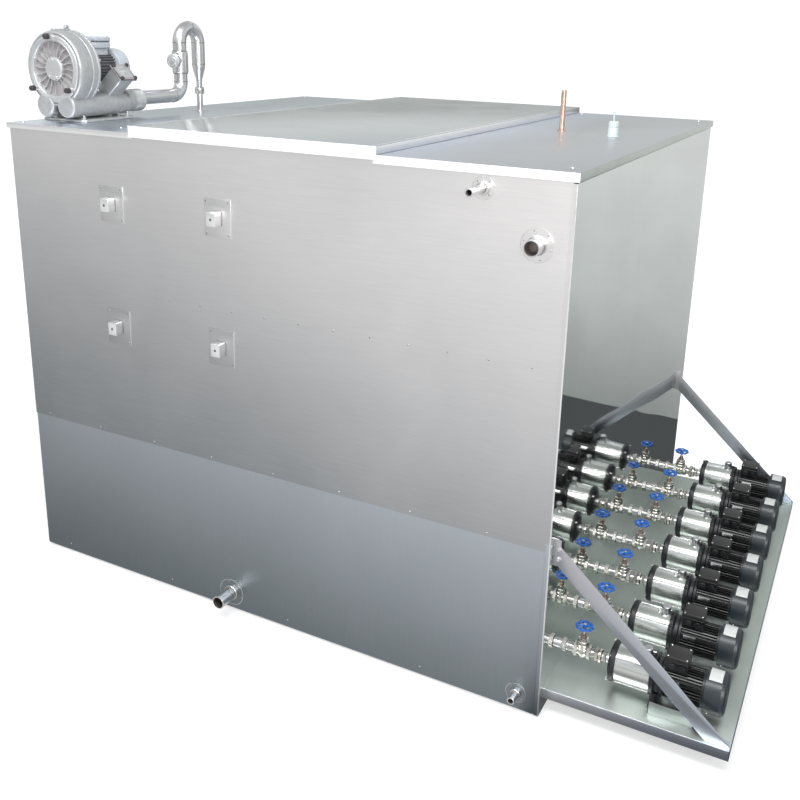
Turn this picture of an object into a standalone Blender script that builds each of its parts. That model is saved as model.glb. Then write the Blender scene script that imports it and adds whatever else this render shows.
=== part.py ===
"""Ice-water bulk milk cooling tank: an insulated stainless tank with seven circulation pumps on an end shelf
and an air-agitation blower on the lid. Metres, +Z up, origin at the middle of the footprint on the floor."""

import math

import bmesh
import bpy
from mathutils import Matrix, Vector

# ---------------------------------------------------------------- driving dimensions (metres)
LENGTH = 1.850  # tank body along X
DEPTH = 1.700  # tank body along Y
HEIGHT = 1.500  # top of the fixed decks
SHELF_LENGTH = 0.500
OVERHANG = 0.006  # deck edge past the wall
COVER_REACH = 0.0085  # the cover's front and back lips past the walls
LEFT_REACH = 0.0175  # the blower's casing past the left wall
FRONT_REACH = 0.090  # the filling pipe reaches this far in front of the wall
GAP = 0.0003

SKIN = 0.0015
LAP = 0.0018  # the upper sheets lie this far outside the lower ones
SKIN_BOTTOM = 0.010
SEAM_Z = 0.513
WALL_INSULATION = 0.050
FLOOR_INSULATION = 0.020
LINER = 0.002
FRAME_BAR = 0.020

LEFT_DECK_END = 0.515
RIGHT_DECK_START = 1.320
LEFT_LIP = 0.016
RIGHT_LIP = 0.022
COVER_X0, COVER_X1 = 0.502, 1.332
COVER_TOP = 1.522
COVER_LIP = 0.034

SHELF_Y0, SHELF_Y1 = 0.030, 1.549
SHELF_TOP = 0.080
SHELF_SKIRT = 0.030
SHELF_SHEET = 0.0025

PUMPS = 7
PUMP_Y0 = 0.140
PUMP_PITCH = 0.2174
PUMP_Z = 0.158
VALVE_X = 0.080  # valve stem, from the wall
WHEEL_Z = 0.235
RING_R, SLEEVE_R, FANCOVER_R = 0.057, 0.0515, 0.058

BLOWER_X, BLOWER_Z = 0.101, 1.665
SILENCER_X = (0.055, 0.146)
SILENCER_Z, SILENCER_R = 1.550, 0.0365
RISER_X = 0.150
RISER_LEG_Y = 0.652
RISER_DROP_Y = 0.755
RISER_R = 0.0242
RISER_RUN_Z = 1.562
RISER_TOP_Z = 1.798
REFRIGERANT_XY = (1.515, 0.920)
SENSOR_XY = (1.706, 0.844)

for old in list(bpy.data.objects):
    bpy.data.objects.remove(old, do_unlink=True)

scene = bpy.context.scene
parts = bpy.data.collections.new("bulk_milk_tank")
cutters = bpy.data.collections.new("cutters")
scene.collection.children.link(parts)
scene.collection.children.link(cutters)
cutters.hide_render = True

corner = bpy.data.objects.new("tank_corner", None)
parts.objects.link(corner)
corner.location = (
    -(LENGTH + SHELF_LENGTH - LEFT_REACH) / 2,
    -(DEPTH + COVER_REACH - FRONT_REACH) / 2,
    0,
)

MATERIALS = {}


def material(name, colour, roughness, metallic):
    if name not in MATERIALS:
        made = bpy.data.materials.new(name)
        made.use_nodes = True
        shader = made.node_tree.nodes["Principled BSDF"]
        shader.inputs["Base Color"].default_value = (*colour, 1)
        shader.inputs["Roughness"].default_value = roughness
        shader.inputs["Metallic"].default_value = metallic
        made.diffuse_color = (*colour, 1)
        MATERIALS[name] = made
    return MATERIALS[name]


SATIN = ("satin_stainless", (0.52, 0.54, 0.56), 0.35, 1.0)
MIRROR = ("polished_stainless", (0.72, 0.74, 0.74), 0.08, 1.0)
SHELF = ("satin_shelf_steel", (0.56, 0.59, 0.57), 0.3, 1.0)
CASTING = ("grey_casting", (0.6, 0.62, 0.64), 0.45, 0.6)
BLACK = ("black_paint", (0.01, 0.01, 0.012), 0.4, 0.0)
BLUE = ("blue_handwheel", (0.01, 0.16, 0.6), 0.35, 0.0)
FOAM = ("insulation_foam", (0.8, 0.7, 0.4), 0.9, 0.0)
COPPER = ("copper_tube", (0.75, 0.4, 0.25), 0.35, 1.0)
WHITE = ("white_plastic", (0.75, 0.78, 0.78), 0.5, 0.0)


def link(obj, collection=None, look=None, parent=None):
    (collection or parts).objects.link(obj)
    obj.parent = parent or corner
    if collection is cutters:
        obj.hide_render = True
        obj.display_type = "WIRE"
    if look:
        obj.data.materials.clear()
        obj.data.materials.append(material(*look))
    return obj


def block(name, low, high, collection=None, look=None, bevel=0.0):
    """A box between two corners, its origin at its middle."""
    low, high = Vector(low), Vector(high)
    mesh = bpy.data.meshes.new(name)
    shape = bmesh.new()
    bmesh.ops.create_cube(shape, size=1)
    bmesh.ops.scale(shape, vec=high - low, verts=shape.verts)
    shape.to_mesh(mesh)
    shape.free()
    obj = link(bpy.data.objects.new(name, mesh), collection, look)
    obj.location = (low + high) / 2
    if bevel:
        edge = obj.modifiers.new("edge", "BEVEL")
        edge.width = bevel
        edge.segments = 1
    return obj


def turned(name, profile, steps, place, axis="Z", collection=None, look=None):
    """A profile of (radius, height) turned about an axis. The profile runs down its outer side."""
    mesh = bpy.data.meshes.new(name)
    shape = bmesh.new()
    points = [shape.verts.new((r, 0, h)) for r, h in profile]
    for a, b in zip(points, points[1:]):
        shape.edges.new((a, b))
    if profile[0][0] > 0:
        shape.edges.new((points[-1], points[0]))
    shape.to_mesh(mesh)
    shape.free()
    obj = link(bpy.data.objects.new(name, mesh), collection, look)
    obj.location = place
    if axis == "X":
        obj.rotation_euler = (0, math.pi / 2, 0)
    elif axis == "Y":
        obj.rotation_euler = (-math.pi / 2, 0, 0)
    turn = obj.modifiers.new("turn", "SCREW")
    turn.axis = "Z"
    turn.steps = steps
    turn.render_steps = steps
    turn.use_merge_vertices = True
    turn.merge_threshold = 0.0001
    turn.use_smooth_shade = True
    return obj


def rod(name, a, b, radius, steps=12, collection=None, look=None):
    """A round bar from a to b."""
    a, b = Vector(a), Vector(b)
    mesh = bpy.data.meshes.new(name)
    shape = bmesh.new()
    bmesh.ops.create_cone(
        shape,
        cap_ends=True,
        segments=steps,
        radius1=radius,
        radius2=radius,
        depth=(b - a).length,
    )
    shape.to_mesh(mesh)
    shape.free()
    obj = link(bpy.data.objects.new(name, mesh), collection, look)
    obj.location = (a + b) / 2
    obj.rotation_mode = "QUATERNION"
    obj.rotation_quaternion = (b - a).to_track_quat("Z", "Y")
    return obj


def pipe(name, route, radius, collection=None, look=None, sides=2):
    """A round tube along a route of points, as a mesh with welded caps."""
    curve = bpy.data.curves.new(name, "CURVE")
    curve.dimensions = "3D"
    spline = curve.splines.new("POLY")
    spline.points.add(len(route) - 1)
    for point, where in zip(spline.points, route):
        point.co = (*where, 1)
    curve.bevel_depth = radius
    curve.bevel_resolution = sides
    curve.use_fill_caps = True
    return welded(name, bpy.data.objects.new(name + "_curve", curve), collection, look)


def outline(name, points, thickness, collection=None, look=None):
    """A flat outline in its own XY plane, extruded by half the thickness each way."""
    curve = bpy.data.curves.new(name, "CURVE")
    curve.dimensions = "2D"
    curve.fill_mode = "BOTH"
    curve.extrude = thickness / 2
    spline = curve.splines.new("POLY")
    spline.points.add(len(points) - 1)
    for point, where in zip(spline.points, points):
        point.co = (*where, 0, 1)
    spline.use_cyclic_u = True
    return welded(name, bpy.data.objects.new(name + "_curve", curve), collection, look)


def welded(name, source, collection=None, look=None):
    """A curve object turned into a mesh object with its caps welded."""
    scene.collection.objects.link(source)
    bpy.context.view_layer.update()
    graph = bpy.context.evaluated_depsgraph_get()
    mesh = bpy.data.meshes.new_from_object(source.evaluated_get(graph))
    mesh.name = name
    shape = bmesh.new()
    shape.from_mesh(mesh)
    bmesh.ops.remove_doubles(shape, verts=shape.verts, dist=0.00001)
    bmesh.ops.recalc_face_normals(shape, faces=shape.faces)
    shape.to_mesh(mesh)
    shape.free()
    obj = link(bpy.data.objects.new(name, mesh), collection, look)
    bpy.data.objects.remove(source, do_unlink=True)
    return obj


def combine(obj, others, operation):
    for other in others:
        step = obj.modifiers.new(operation.lower() + "_" + other.name, "BOOLEAN")
        step.operation = operation
        step.object = other
        step.solver = "EXACT"
    return obj


def cut(obj, *others):
    return combine(obj, others, "DIFFERENCE")


def add(obj, *others):
    return combine(obj, others, "UNION")


def baked(obj):
    """The mesh that an object's modifiers make, for copies that share it."""
    bpy.context.view_layer.update()
    graph = bpy.context.evaluated_depsgraph_get()
    return bpy.data.meshes.new_from_object(obj.evaluated_get(graph))


def arc(centre, start, end, radius, u, v, count):
    """Points of an arc in the plane of the unit vectors u and v, angles in degrees."""
    centre, u, v = Vector(centre), Vector(u), Vector(v)
    found = []
    for i in range(count + 1):
        angle = math.radians(start + (end - start) * i / count)
        found.append(centre + radius * (math.cos(angle) * u + math.sin(angle) * v))
    return found


# ---------------------------------------------------------------- base frame
frame_in = 0.012
base_frame = block(
    "base_frame",
    (frame_in, frame_in, 0),
    (LENGTH - frame_in, DEPTH - frame_in, FRAME_BAR),
    look=SATIN,
)
bays = 3
bay = (LENGTH - 2 * frame_in - 0.06 * (bays + 1)) / bays
for i in range(bays):
    x = frame_in + 0.06 + i * (bay + 0.06)
    cut(
        base_frame,
        block(
            f"frame_bay_{i + 1}",
            (x, frame_in + 0.06, -0.01),
            (x + bay, DEPTH - frame_in - 0.06, FRAME_BAR + 0.01),
            cutters,
        ),
    )

# ---------------------------------------------------------------- holes through the walls
nozzle_holes = {
    "filling": ((1.625, 1.4434), 0.0107),
    "overflow": ((1.7706, 1.319), 0.0212),
    "return": ((0.8217, 0.0665), 0.0212),
    "drain": ((1.7902, 0.0607), 0.0107),
}
front_cutters = [
    rod(
        f"{name}_hole",
        (x, -0.02, z),
        (x, 0.09, z),
        radius + 0.0020,
        8,
        cutters,
    )
    for name, ((x, z), radius) in nozzle_holes.items()
]
pump_y = [PUMP_Y0 + PUMP_PITCH * i for i in range(PUMPS)]
suction_cutters = [
    rod(
        f"suction_hole_{i + 1}",
        (LENGTH - 0.09, y, PUMP_Z),
        (LENGTH + 0.02, y, PUMP_Z),
        0.0155,
        8,
        cutters,
    )
    for i, y in enumerate(pump_y)
]


def wall_ring(name, inset, thickness, z0, z1, end_inset, look):
    """Four walls as one sleeve, inset from the outside of the tank."""
    sleeve = block(
        name,
        (inset, inset, z0),
        (LENGTH - end_inset, DEPTH - inset, z1),
        look=look,
    )
    cut(
        sleeve,
        block(
            name + "_inside",
            (inset + thickness, inset + thickness, z0 - 0.01),
            (LENGTH - end_inset - thickness, DEPTH - inset - thickness, z1 + 0.01),
            cutters,
        ),
    )
    return sleeve


end_in = SKIN + GAP
rim = HEIGHT - 0.002 - GAP
lower_skin = wall_ring("lower_skin", LAP, SKIN, SKIN_BOTTOM, SEAM_Z + 0.025, end_in + LAP, SATIN)
cut(lower_skin, front_cutters[2], front_cutters[3], *suction_cutters)

upper_skin = wall_ring("upper_skin", 0.0, SKIN, SEAM_Z, rim, end_in, SATIN)
# Four box-section lugs on square plates carry a control cabinet on the front wall.
for i, (x, z) in enumerate(((0.4135, 1.281), (0.8145, 1.281), (0.4135, 0.891), (0.8145, 0.891))):
    plate = block(
        f"lug_plate_{i + 1}", (x - 0.047, -0.0015, z - 0.056), (x + 0.047, 0.0006, z + 0.056), cutters
    )
    stub = block(
        f"lug_stub_{i + 1}", (x - 0.016, -0.033, z - 0.020), (x + 0.016, 0.0004, z + 0.020), cutters
    )
    add(upper_skin, plate, stub)
cut(upper_skin, front_cutters[0], front_cutters[1])

pump_end_panel = block(
    "pump_end_panel",
    (LENGTH - SKIN, 0, SKIN_BOTTOM),
    (LENGTH, DEPTH, HEIGHT - RIGHT_LIP - 0.004),
    look=MIRROR,
)
cut(pump_end_panel, *suction_cutters)

# ---------------------------------------------------------------- insulation and inner tank
foam_in = LAP + SKIN + GAP
foam_end = end_in + LAP + SKIN + GAP
foam_base = FRAME_BAR + GAP
insulation = block(
    "insulation",
    (foam_in, foam_in, foam_base),
    (LENGTH - foam_end, DEPTH - foam_in, rim),
    look=FOAM,
)
liner_base = foam_base + FLOOR_INSULATION
cut(
    insulation,
    block(
        "insulation_inside",
        (foam_in + WALL_INSULATION, foam_in + WALL_INSULATION, liner_base),
        (
            LENGTH - foam_end - WALL_INSULATION,
            DEPTH - foam_in - WALL_INSULATION,
            HEIGHT + 0.05,
        ),
        cutters,
    ),
    *front_cutters,
    *suction_cutters,
)
tank_in = foam_in + WALL_INSULATION + GAP
tank_end = foam_end + WALL_INSULATION + GAP
inner_tank = block(
    "inner_tank",
    (tank_in, tank_in, liner_base + GAP),
    (LENGTH - tank_end, DEPTH - tank_in, rim),
    look=SATIN,
)
cut(
    inner_tank,
    block(
        "inner_tank_inside",
        (tank_in + LINER, tank_in + LINER, liner_base + GAP + LINER),
        (LENGTH - tank_end - LINER, DEPTH - tank_in - LINER, HEIGHT + 0.05),
        cutters,
    ),
    *front_cutters,
    *suction_cutters,
)

# ---------------------------------------------------------------- decks and cover
deck_sheet = 0.002


def deck(name, x0, x1, lip, lip_left, lip_right):
    """A flat sheet with folded-down lips in front, behind and at the tank's end."""
    sheet = block(name, (x0, -OVERHANG, HEIGHT - lip), (x1, DEPTH + OVERHANG, HEIGHT), look=SATIN)
    cut(
        sheet,
        block(
            name + "_fold",
            (
                x0 + (0.0015 if lip_left else -0.01),
                -OVERHANG + 0.0015,
                HEIGHT - lip - 0.01,
            ),
            (
                x1 - (0.0015 if lip_right else -0.01),
                DEPTH + OVERHANG - 0.0015,
                HEIGHT - deck_sheet,
            ),
            cutters,
        ),
    )
    return sheet


left_deck = deck("left_deck", -OVERHANG, LEFT_DECK_END, LEFT_LIP, True, False)
right_deck = deck("right_deck", RIGHT_DECK_START, LENGTH + OVERHANG, RIGHT_LIP, False, True)
cut(
    left_deck,
    rod(
        "drop_pipe_hole",
        (RISER_X, RISER_DROP_Y, HEIGHT - 0.03),
        (RISER_X, RISER_DROP_Y, HEIGHT + 0.03),
        0.0115,
        12,
        cutters,
    ),
)
cut(
    right_deck,
    rod(
        "refrigerant_hole",
        (*REFRIGERANT_XY, HEIGHT - 0.03),
        (*REFRIGERANT_XY, HEIGHT + 0.03),
        0.0092,
        12,
        cutters,
    ),
    rod(
        "sensor_hole",
        (*SENSOR_XY, HEIGHT - 0.03),
        (*SENSOR_XY, HEIGHT + 0.03),
        0.0060,
        12,
        cutters,
    ),
)

centre_cover = block(
    "centre_cover",
    (COVER_X0, -COVER_REACH, COVER_TOP - COVER_LIP),
    (COVER_X1, DEPTH + COVER_REACH, COVER_TOP),
    look=SATIN,
)
cut(
    centre_cover,
    block(
        "cover_fold",
        (COVER_X0 + 0.0015, -OVERHANG - 0.001, COVER_TOP - COVER_LIP - 0.01),
        (COVER_X1 - 0.0015, DEPTH + OVERHANG + 0.001, COVER_TOP - 0.002),
        cutters,
    ),
    block(
        "cover_side_relief",
        (COVER_X0 - 0.01, -OVERHANG - 0.001, COVER_TOP - COVER_LIP - 0.01),
        (COVER_X1 + 0.01, DEPTH + OVERHANG + 0.001, HEIGHT + 0.0003),
        cutters,
    ),
)

# ---------------------------------------------------------------- pump shelf and its struts
shelf_x0 = LENGTH + GAP
shelf_x1 = LENGTH + SHELF_LENGTH
pump_shelf = block(
    "pump_shelf",
    (shelf_x0, SHELF_Y0, SHELF_TOP - SHELF_SKIRT),
    (shelf_x1, SHELF_Y1, SHELF_TOP),
    look=SHELF,
)
cut(
    pump_shelf,
    block(
        "shelf_fold",
        (shelf_x0 + SHELF_SHEET, SHELF_Y0 + SHELF_SHEET, SHELF_TOP - SHELF_SKIRT - 0.01),
        (shelf_x1 - SHELF_SHEET, SHELF_Y1 - SHELF_SHEET, SHELF_TOP - SHELF_SHEET),
        cutters,
    ),
)

strut_t = 0.004
strut_foot = SHELF_TOP + GAP
strut_points = [
    (1.8655, 0.5215),
    (1.8655, 0.4605),
    (2.2865, strut_foot),
    (shelf_x1 - 0.002, strut_foot),
    (shelf_x1 - 0.002, strut_foot + 0.004),
]
for name, y, tab in (("near_strut", 0.040, 1), ("far_strut", 1.5355, -1)):
    bar = outline(name, strut_points, strut_t, look=SATIN)
    bar.rotation_euler = (math.pi / 2, 0, 0)
    bar.location = (0, y + strut_t / 2, 0)
    leg = 0.0005 * tab
    y0, y1 = sorted((y + strut_t / 2 + leg * -2, y + strut_t / 2 + tab * 0.0048))
    web = block(name + "_web", (LENGTH + GAP, y0, 0.456), (1.874, y1, 0.532), cutters)
    w0, w1 = sorted((y + strut_t / 2 + tab * 0.001, y + strut_t / 2 + tab * 0.034))
    flange = block(name + "_flange", (LENGTH + GAP, w0, 0.456), (LENGTH + 0.0035, w1, 0.532), cutters)
    f0, f1 = sorted((y + strut_t / 2 + tab * 0.001, y + strut_t / 2 + tab * 0.022))
    foot = block(name + "_foot", (2.289, f0, strut_foot), (shelf_x1 - 0.004, f1, strut_foot + 0.004), cutters)
    add(bar, web, flange, foot)

# ---------------------------------------------------------------- wall nozzles
# Each is a pipe through the wall, with a round doubler plate on the outside.
nozzles = {
    "filling_nozzle": ("filling", -FRONT_REACH, 0.0075, 0.029, 0.018),
    "overflow_nozzle": ("overflow", -0.045, 0.0185, 0.043, 0.0255),
    "return_nozzle": ("return", -0.070, 0.0185, 0.045, 0.0250),
    "drain_nozzle": ("drain", -0.040, 0.0075, 0.030, 0.0150),
}
for name, (hole, mouth, bore, plate_r, boss_r) in nozzles.items():
    (x, z), radius = nozzle_holes[hole]
    face = GAP if hole in ("filling", "overflow") else GAP - LAP
    back = 0.070
    # Height runs out of the wall: 0 at the wall's face.
    profile = [
        (bore, -mouth),
        (radius, -mouth),
        (radius, 0.012 + face),
        (boss_r, 0.0115 + face),
        (boss_r, 0.002 + face),
        (plate_r, 0.0019 + face),
        (plate_r, face),
        (radius, face),
        (radius, -back),
        (bore, -back),
    ]
    nozzle = turned(name, profile, 16, (x, 0, z), "Z", look=SATIN)
    nozzle.rotation_euler = (math.pi / 2, 0, 0)

# ---------------------------------------------------------------- inside the tank
coil_in = 0.13
coil_r = 0.008
levels = 6
low, high = 0.20, 1.30
route = []
x0, x1 = coil_in, LENGTH - coil_in
y0, y1 = coil_in, DEPTH - coil_in
bend = 0.07
turns = levels


def rounded_loop(z_from, z_to):
    """One turn of a rounded rectangle that rises evenly."""
    flat = []
    for cx, cy, a in (
        (x1 - bend, y0 + bend, -90),
        (x1 - bend, y1 - bend, 0),
        (x0 + bend, y1 - bend, 90),
        (x0 + bend, y0 + bend, 180),
    ):
        for k in range(4):
            angle = math.radians(a + 30 * k)
            flat.append((cx + bend * math.cos(angle), cy + bend * math.sin(angle)))
    return [(x, y, z_from + (z_to - z_from) * i / len(flat)) for i, (x, y) in enumerate(flat)]


for turn in range(turns):
    z = low + (high - low) * turn / turns
    route += rounded_loop(z, z + (high - low) / turns)
tail_x, tail_y = REFRIGERANT_XY
route += [
    (x1 - bend, y0, high),
    (x1 - 0.01, y0 + bend, high + 0.005),
    (tail_x + 0.12, tail_y - 0.30, high + 0.02),
    (tail_x, tail_y, high + 0.06),
    (tail_x, tail_y, HEIGHT),
    (tail_x, tail_y, HEIGHT + 0.130),
]
evaporator_coil = pipe("evaporator_coil", route, coil_r, look=COPPER, sides=1)

drop_top = 1.586
manifold_z = 0.085
air_manifold = pipe(
    "air_manifold",
    [
        (RISER_X, RISER_DROP_Y, drop_top),
        (RISER_X, RISER_DROP_Y, 0.14),
        *arc((RISER_X + 0.05, RISER_DROP_Y, manifold_z + 0.05), 180, 270, 0.05, (1, 0, 0), (0, 0, 1), 4),
        (LENGTH - 0.20, RISER_DROP_Y, manifold_z),
    ],
    0.0107,
    look=SATIN,
)
add(
    air_manifold,
    rod(
        "union_nut",
        (RISER_X, RISER_DROP_Y, 1.562),
        (RISER_X, RISER_DROP_Y, drop_top - 0.0005),
        0.0175,
        6,
        cutters,
    ),
)

level_sensor = turned(
    "level_sensor",
    [
        (0, 0.078),
        (0.003, 0.078),
        (0.003, 0.0485),
        (0.0145, 0.047),
        (0.0165, 0.043),
        (0.0165, GAP),
        (0.004, GAP),
        (0.004, -0.400),
        (0, -0.400),
    ],
    12,
    (*SENSOR_XY, HEIGHT),
    look=WHITE,
)

# ---------------------------------------------------------------- blower
blower_base = block(
    "blower_base",
    (0.008, 0.125, HEIGHT + GAP),
    (0.196, 0.360, HEIGHT + 0.010),
    look=SATIN,
    bevel=0.003,
)
for i, x in enumerate(SILENCER_X):
    add(
        blower_base,
        block(
            f"saddle_{i + 1}",
            (x - 0.012, 0.16, HEIGHT + 0.006),
            (x + 0.012, 0.33, SILENCER_Z - SILENCER_R - GAP),
            cutters,
        ),
    )

casing_front, casing_back = 0.118, 0.200
blower_casing = turned(
    "blower_casing",
    [
        (0.012, -casing_back),
        (0.012, -casing_back + 0.008),
        (0.088, -casing_back + 0.008),
        (0.088, -casing_front),
        (0.1070, -casing_front),
        (0.1070, -0.108),
        (0.1120, -0.104),
        (0.1170, -0.109),
        (0.1185, -0.122),
        (0.1185, -0.184),
        (0.109, -casing_back),
    ],
    24,
    (BLOWER_X, 0, BLOWER_Z),
    look=CASTING,
)
blower_casing.rotation_euler = (math.pi / 2, 0, 0)
ends = (0.355, 0.360)
silencers = [
    rod(
        f"silencer_{i + 1}",
        (x, 0.100, SILENCER_Z),
        (x, end, SILENCER_Z),
        SILENCER_R,
        16,
        cutters,
    )
    for i, (x, end) in enumerate(zip(SILENCER_X, ends))
]
bridge = block("silencer_bridge", (0.050, 0.126, 1.548), (0.150, 0.186, 1.590), cutters)
top_rib = block("top_rib", (BLOWER_X - 0.009, 0.114, BLOWER_Z + 0.110), (BLOWER_X + 0.009, 0.180, BLOWER_Z + 0.1225), cutters)
collar = rod(
    "outlet_collar",
    (0.148, 0.352, 1.556),
    (0.148, 0.4297, 1.556),
    0.0375,
    14,
    cutters,
)
duct_dir = Vector((0.743, 0, 0.670))
duct_mid = Vector((0.2115, 0.300, 1.655)) - duct_dir * 0.055
duct = block("relief_duct", (-0.0275, -0.0305, -0.055), (0.0275, 0.0305, 0.055), cutters)
duct.location = duct_mid
duct.rotation_euler = (0, math.atan2(duct_dir.x, duct_dir.z), 0)
duct_flange = block("relief_flange", (-0.034, -0.037, -0.003), (0.034, 0.037, 0.003), cutters)
duct_flange.location = duct_mid + duct_dir * 0.053
duct_flange.rotation_euler = duct.rotation_euler
add(blower_casing, *silencers, bridge, top_rib, collar, duct, duct_flange)
cut(
    blower_casing,
    rod(
        "impeller_room",
        (BLOWER_X, casing_front - 0.01, BLOWER_Z),
        (BLOWER_X, casing_back - 0.008, BLOWER_Z),
        0.0880,
        24,
        cutters,
    ),
)

blower_cover = turned(
    "blower_cover",
    [
        (0, -0.101),
        (0.034, -0.1015),
        (0.037, -0.107),
        (0.080, -0.108),
        (0.088, -0.100),
        (0.103, -0.101),
        (0.1065, -0.104),
        (0.1065, -casing_front + GAP),
        (0, -casing_front + GAP),
    ],
    24,
    (BLOWER_X, 0, BLOWER_Z),
    look=CASTING,
)
blower_cover.rotation_euler = (math.pi / 2, 0, 0)
for i, angle in enumerate((89, 219, 320)):
    a = math.radians(angle)
    x, z = BLOWER_X + 0.0968 * math.cos(a), BLOWER_Z + 0.0968 * math.sin(a)
    add(
        blower_cover,
        rod(f"standoff_{i + 1}", (x, 0.074, z), (x, casing_front - GAP, z), 0.0085, 8, cutters),
    )
# The silencers' front ends stand in notches in the cover's rim.
cut(
    blower_cover,
    *(
        rod(f"silencer_notch_{i + 1}", (x, 0.08, SILENCER_Z), (x, 0.14, SILENCER_Z), SILENCER_R + GAP, 16, cutters)
        for i, x in enumerate(SILENCER_X)
    ),
)

motor_front = casing_back + GAP
blower_motor = turned(
    "blower_motor",
    [
        (0, -0.384),
        (0, -0.388),
        (0.060, -0.388),
        (0.062, -0.384),
        (0.062, -0.335),
        (0.050, -0.335),
        (0.050, -motor_front),
        (0.012, -motor_front),
        (0.012, -0.222),
        (0.036, -0.222),
        (0.036, -0.325),
        (0.012, -0.325),
        (0.012, -0.340),
        (0.056, -0.340),
        (0.056, -0.384),
    ][::-1],
    16,
    (BLOWER_X, 0, BLOWER_Z),
    look=BLACK,
)
blower_motor.rotation_euler = (math.pi / 2, 0, 0)
add(
    blower_motor,
    block(
        "blower_terminals",
        (BLOWER_X - 0.036, 0.256, BLOWER_Z + 0.044),
        (BLOWER_X + 0.036, 0.324, BLOWER_Z + 0.100),
        cutters,
    ),
)
blower_rotor = turned(
    "blower_rotor",
    [
        (0, -0.126),
        (0.020, -0.126),
        (0.083, -0.132),
        (0.083, -0.182),
        (0.020, -0.188),
        (0.008, -0.188),
        (0.008, -0.228),
        (0.032, -0.228),
        (0.032, -0.319),
        (0.008, -0.319),
        (0.008, -0.350),
        (0.048, -0.350),
        (0.048, -0.370),
        (0, -0.376),
    ],
    16,
    (BLOWER_X, 0, BLOWER_Z),
    look=CASTING,
)
blower_rotor.rotation_euler = (math.pi / 2, 0, 0)

# ---------------------------------------------------------------- riser pipe with its relief valve
leg_bend = 0.048
top_bend = (RISER_DROP_Y - RISER_LEG_Y) / 2
top_centre = (RISER_X, (RISER_DROP_Y + RISER_LEG_Y) / 2, RISER_TOP_Z - top_bend)
riser_pipe = pipe(
    "riser_pipe",
    [
        (RISER_X, 0.430, RISER_RUN_Z),
        *arc(
            (RISER_X, RISER_LEG_Y - leg_bend, RISER_RUN_Z + leg_bend),
            -90,
            0,
            leg_bend,
            (0, 1, 0),
            (0, 0, 1),
            5,
        ),
        *arc(top_centre, 180, 0, top_bend, (0, 1, 0), (0, 0, 1), 8),
        (RISER_X, RISER_DROP_Y, 1.668),
    ],
    RISER_R,
    look=SATIN,
)
reducer = turned(
    "reducer",
    [
        (0, 1.674),
        (0.0240, 1.674),
        (0.0240, 1.662),
        (0.0107, 1.612),
        (0.0107, drop_top + GAP),
        (0, drop_top + GAP),
    ],
    12,
    (RISER_X, RISER_DROP_Y, 0),
    collection=cutters,
)
valve_body = rod(
    "relief_body",
    (RISER_X, RISER_LEG_Y, 1.640),
    (RISER_X, RISER_LEG_Y, 1.716),
    0.0285,
    14,
    cutters,
)
knob_dir = Vector((0.25, -0.968, 0)).normalized()
knob_from = Vector((RISER_X, RISER_LEG_Y, 1.684))
relief_neck = rod("relief_neck", knob_from, knob_from + knob_dir * 0.045, 0.016, 12, cutters)
relief_cap = rod(
    "relief_cap", knob_from + knob_dir * 0.042, knob_from + knob_dir * 0.062, 0.025, 14, cutters
)
add(riser_pipe, reducer, valve_body, relief_neck, relief_cap)

# ---------------------------------------------------------------- pump sets
# Each set lies along X from the wall: gate valve, pump, motor. The prototypes are modelled about the
# pump's own axis, with X measured from the wall, and every set shares their meshes.


def prototype(name, make):
    mesh = baked(make)
    mesh.name = name
    bpy.data.objects.remove(make, do_unlink=True)
    return mesh


def along_x(name, profile, steps, collection=None, look=None):
    """A turned piece about X, its profile given as (radius, x) and running away from the wall."""
    return turned(
        name,
        [(r, x) for r, x in reversed(profile)],
        steps,
        (0, 0, 0),
        "X",
        collection,
        look,
    )


bare = bpy.data.objects.new("prototypes", None)
cutters.objects.link(bare)

pump = along_x(
    "pump_shape",
    [
        (0.010, 0.1600),
        (RING_R, 0.1600),
        (RING_R, 0.1800),
        (SLEEVE_R, 0.1800),
        (SLEEVE_R, 0.2750),
        (0.0560, 0.2750),
        (0.0560, 0.3000),
        (0.0470, 0.3000),
        (0.0470, 0.1670),
        (0.010, 0.1670),
    ],
    16,
    look=MIRROR,
)
shelf_drop = SHELF_TOP - PUMP_Z
pump_pedestal = block("pump_pedestal", (0.277, -0.034, shelf_drop + 0.0015), (0.298, 0.034, -0.044), cutters)
# The foot stands in a short channel with its flanges up, which the motor hangs over.
pump_channel = block("pump_channel", (0.2845, -0.069, shelf_drop + GAP), (0.4000, 0.069, shelf_drop + 0.037), cutters)
cut(pump_channel, block("channel_room", (0.2700, -0.0665, shelf_drop + 0.003), (0.4100, 0.0665, 0), cutters))
pump_plug = rod("pump_plug", (0.264, 0, 0.049), (0.264, 0, 0.073), 0.0125, 12, cutters)
add(pump, pump_channel, pump_pedestal, pump_plug)

motor = along_x(
    "motor_shape",
    [
        (0.010, 0.3003),
        (0.0500, 0.3003),
        (0.0500, 0.4150),
        (FANCOVER_R, 0.4150),
        (FANCOVER_R, 0.4640),
        (0.0550, 0.4680),
        (0, 0.4680),
        (0, 0.4640),
        (0.0520, 0.4640),
        (0.0520, 0.4190),
        (0.010, 0.4190),
        (0.010, 0.4090),
        (0.0365, 0.4090),
        (0.0365, 0.3120),
        (0.010, 0.3120),
    ],
    16,
    look=BLACK,
)
add(motor, block("terminal_box", (0.308, -0.030, 0.042), (0.367, 0.030, 0.085), cutters))

rotor = along_x(
    "rotor_shape",
    [
        (0, 0.172),
        (0.0065, 0.186),
        (0.0420, 0.186),
        (0.0420, 0.270),
        (0.0065, 0.270),
        (0.0065, 0.316),
        (0.0325, 0.316),
        (0.0325, 0.405),
        (0.0065, 0.405),
        (0.0065, 0.430),
        (0.0440, 0.434),
        (0.0440, 0.450),
        (0, 0.452),
    ],
    10,
    look=SATIN,
)

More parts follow.
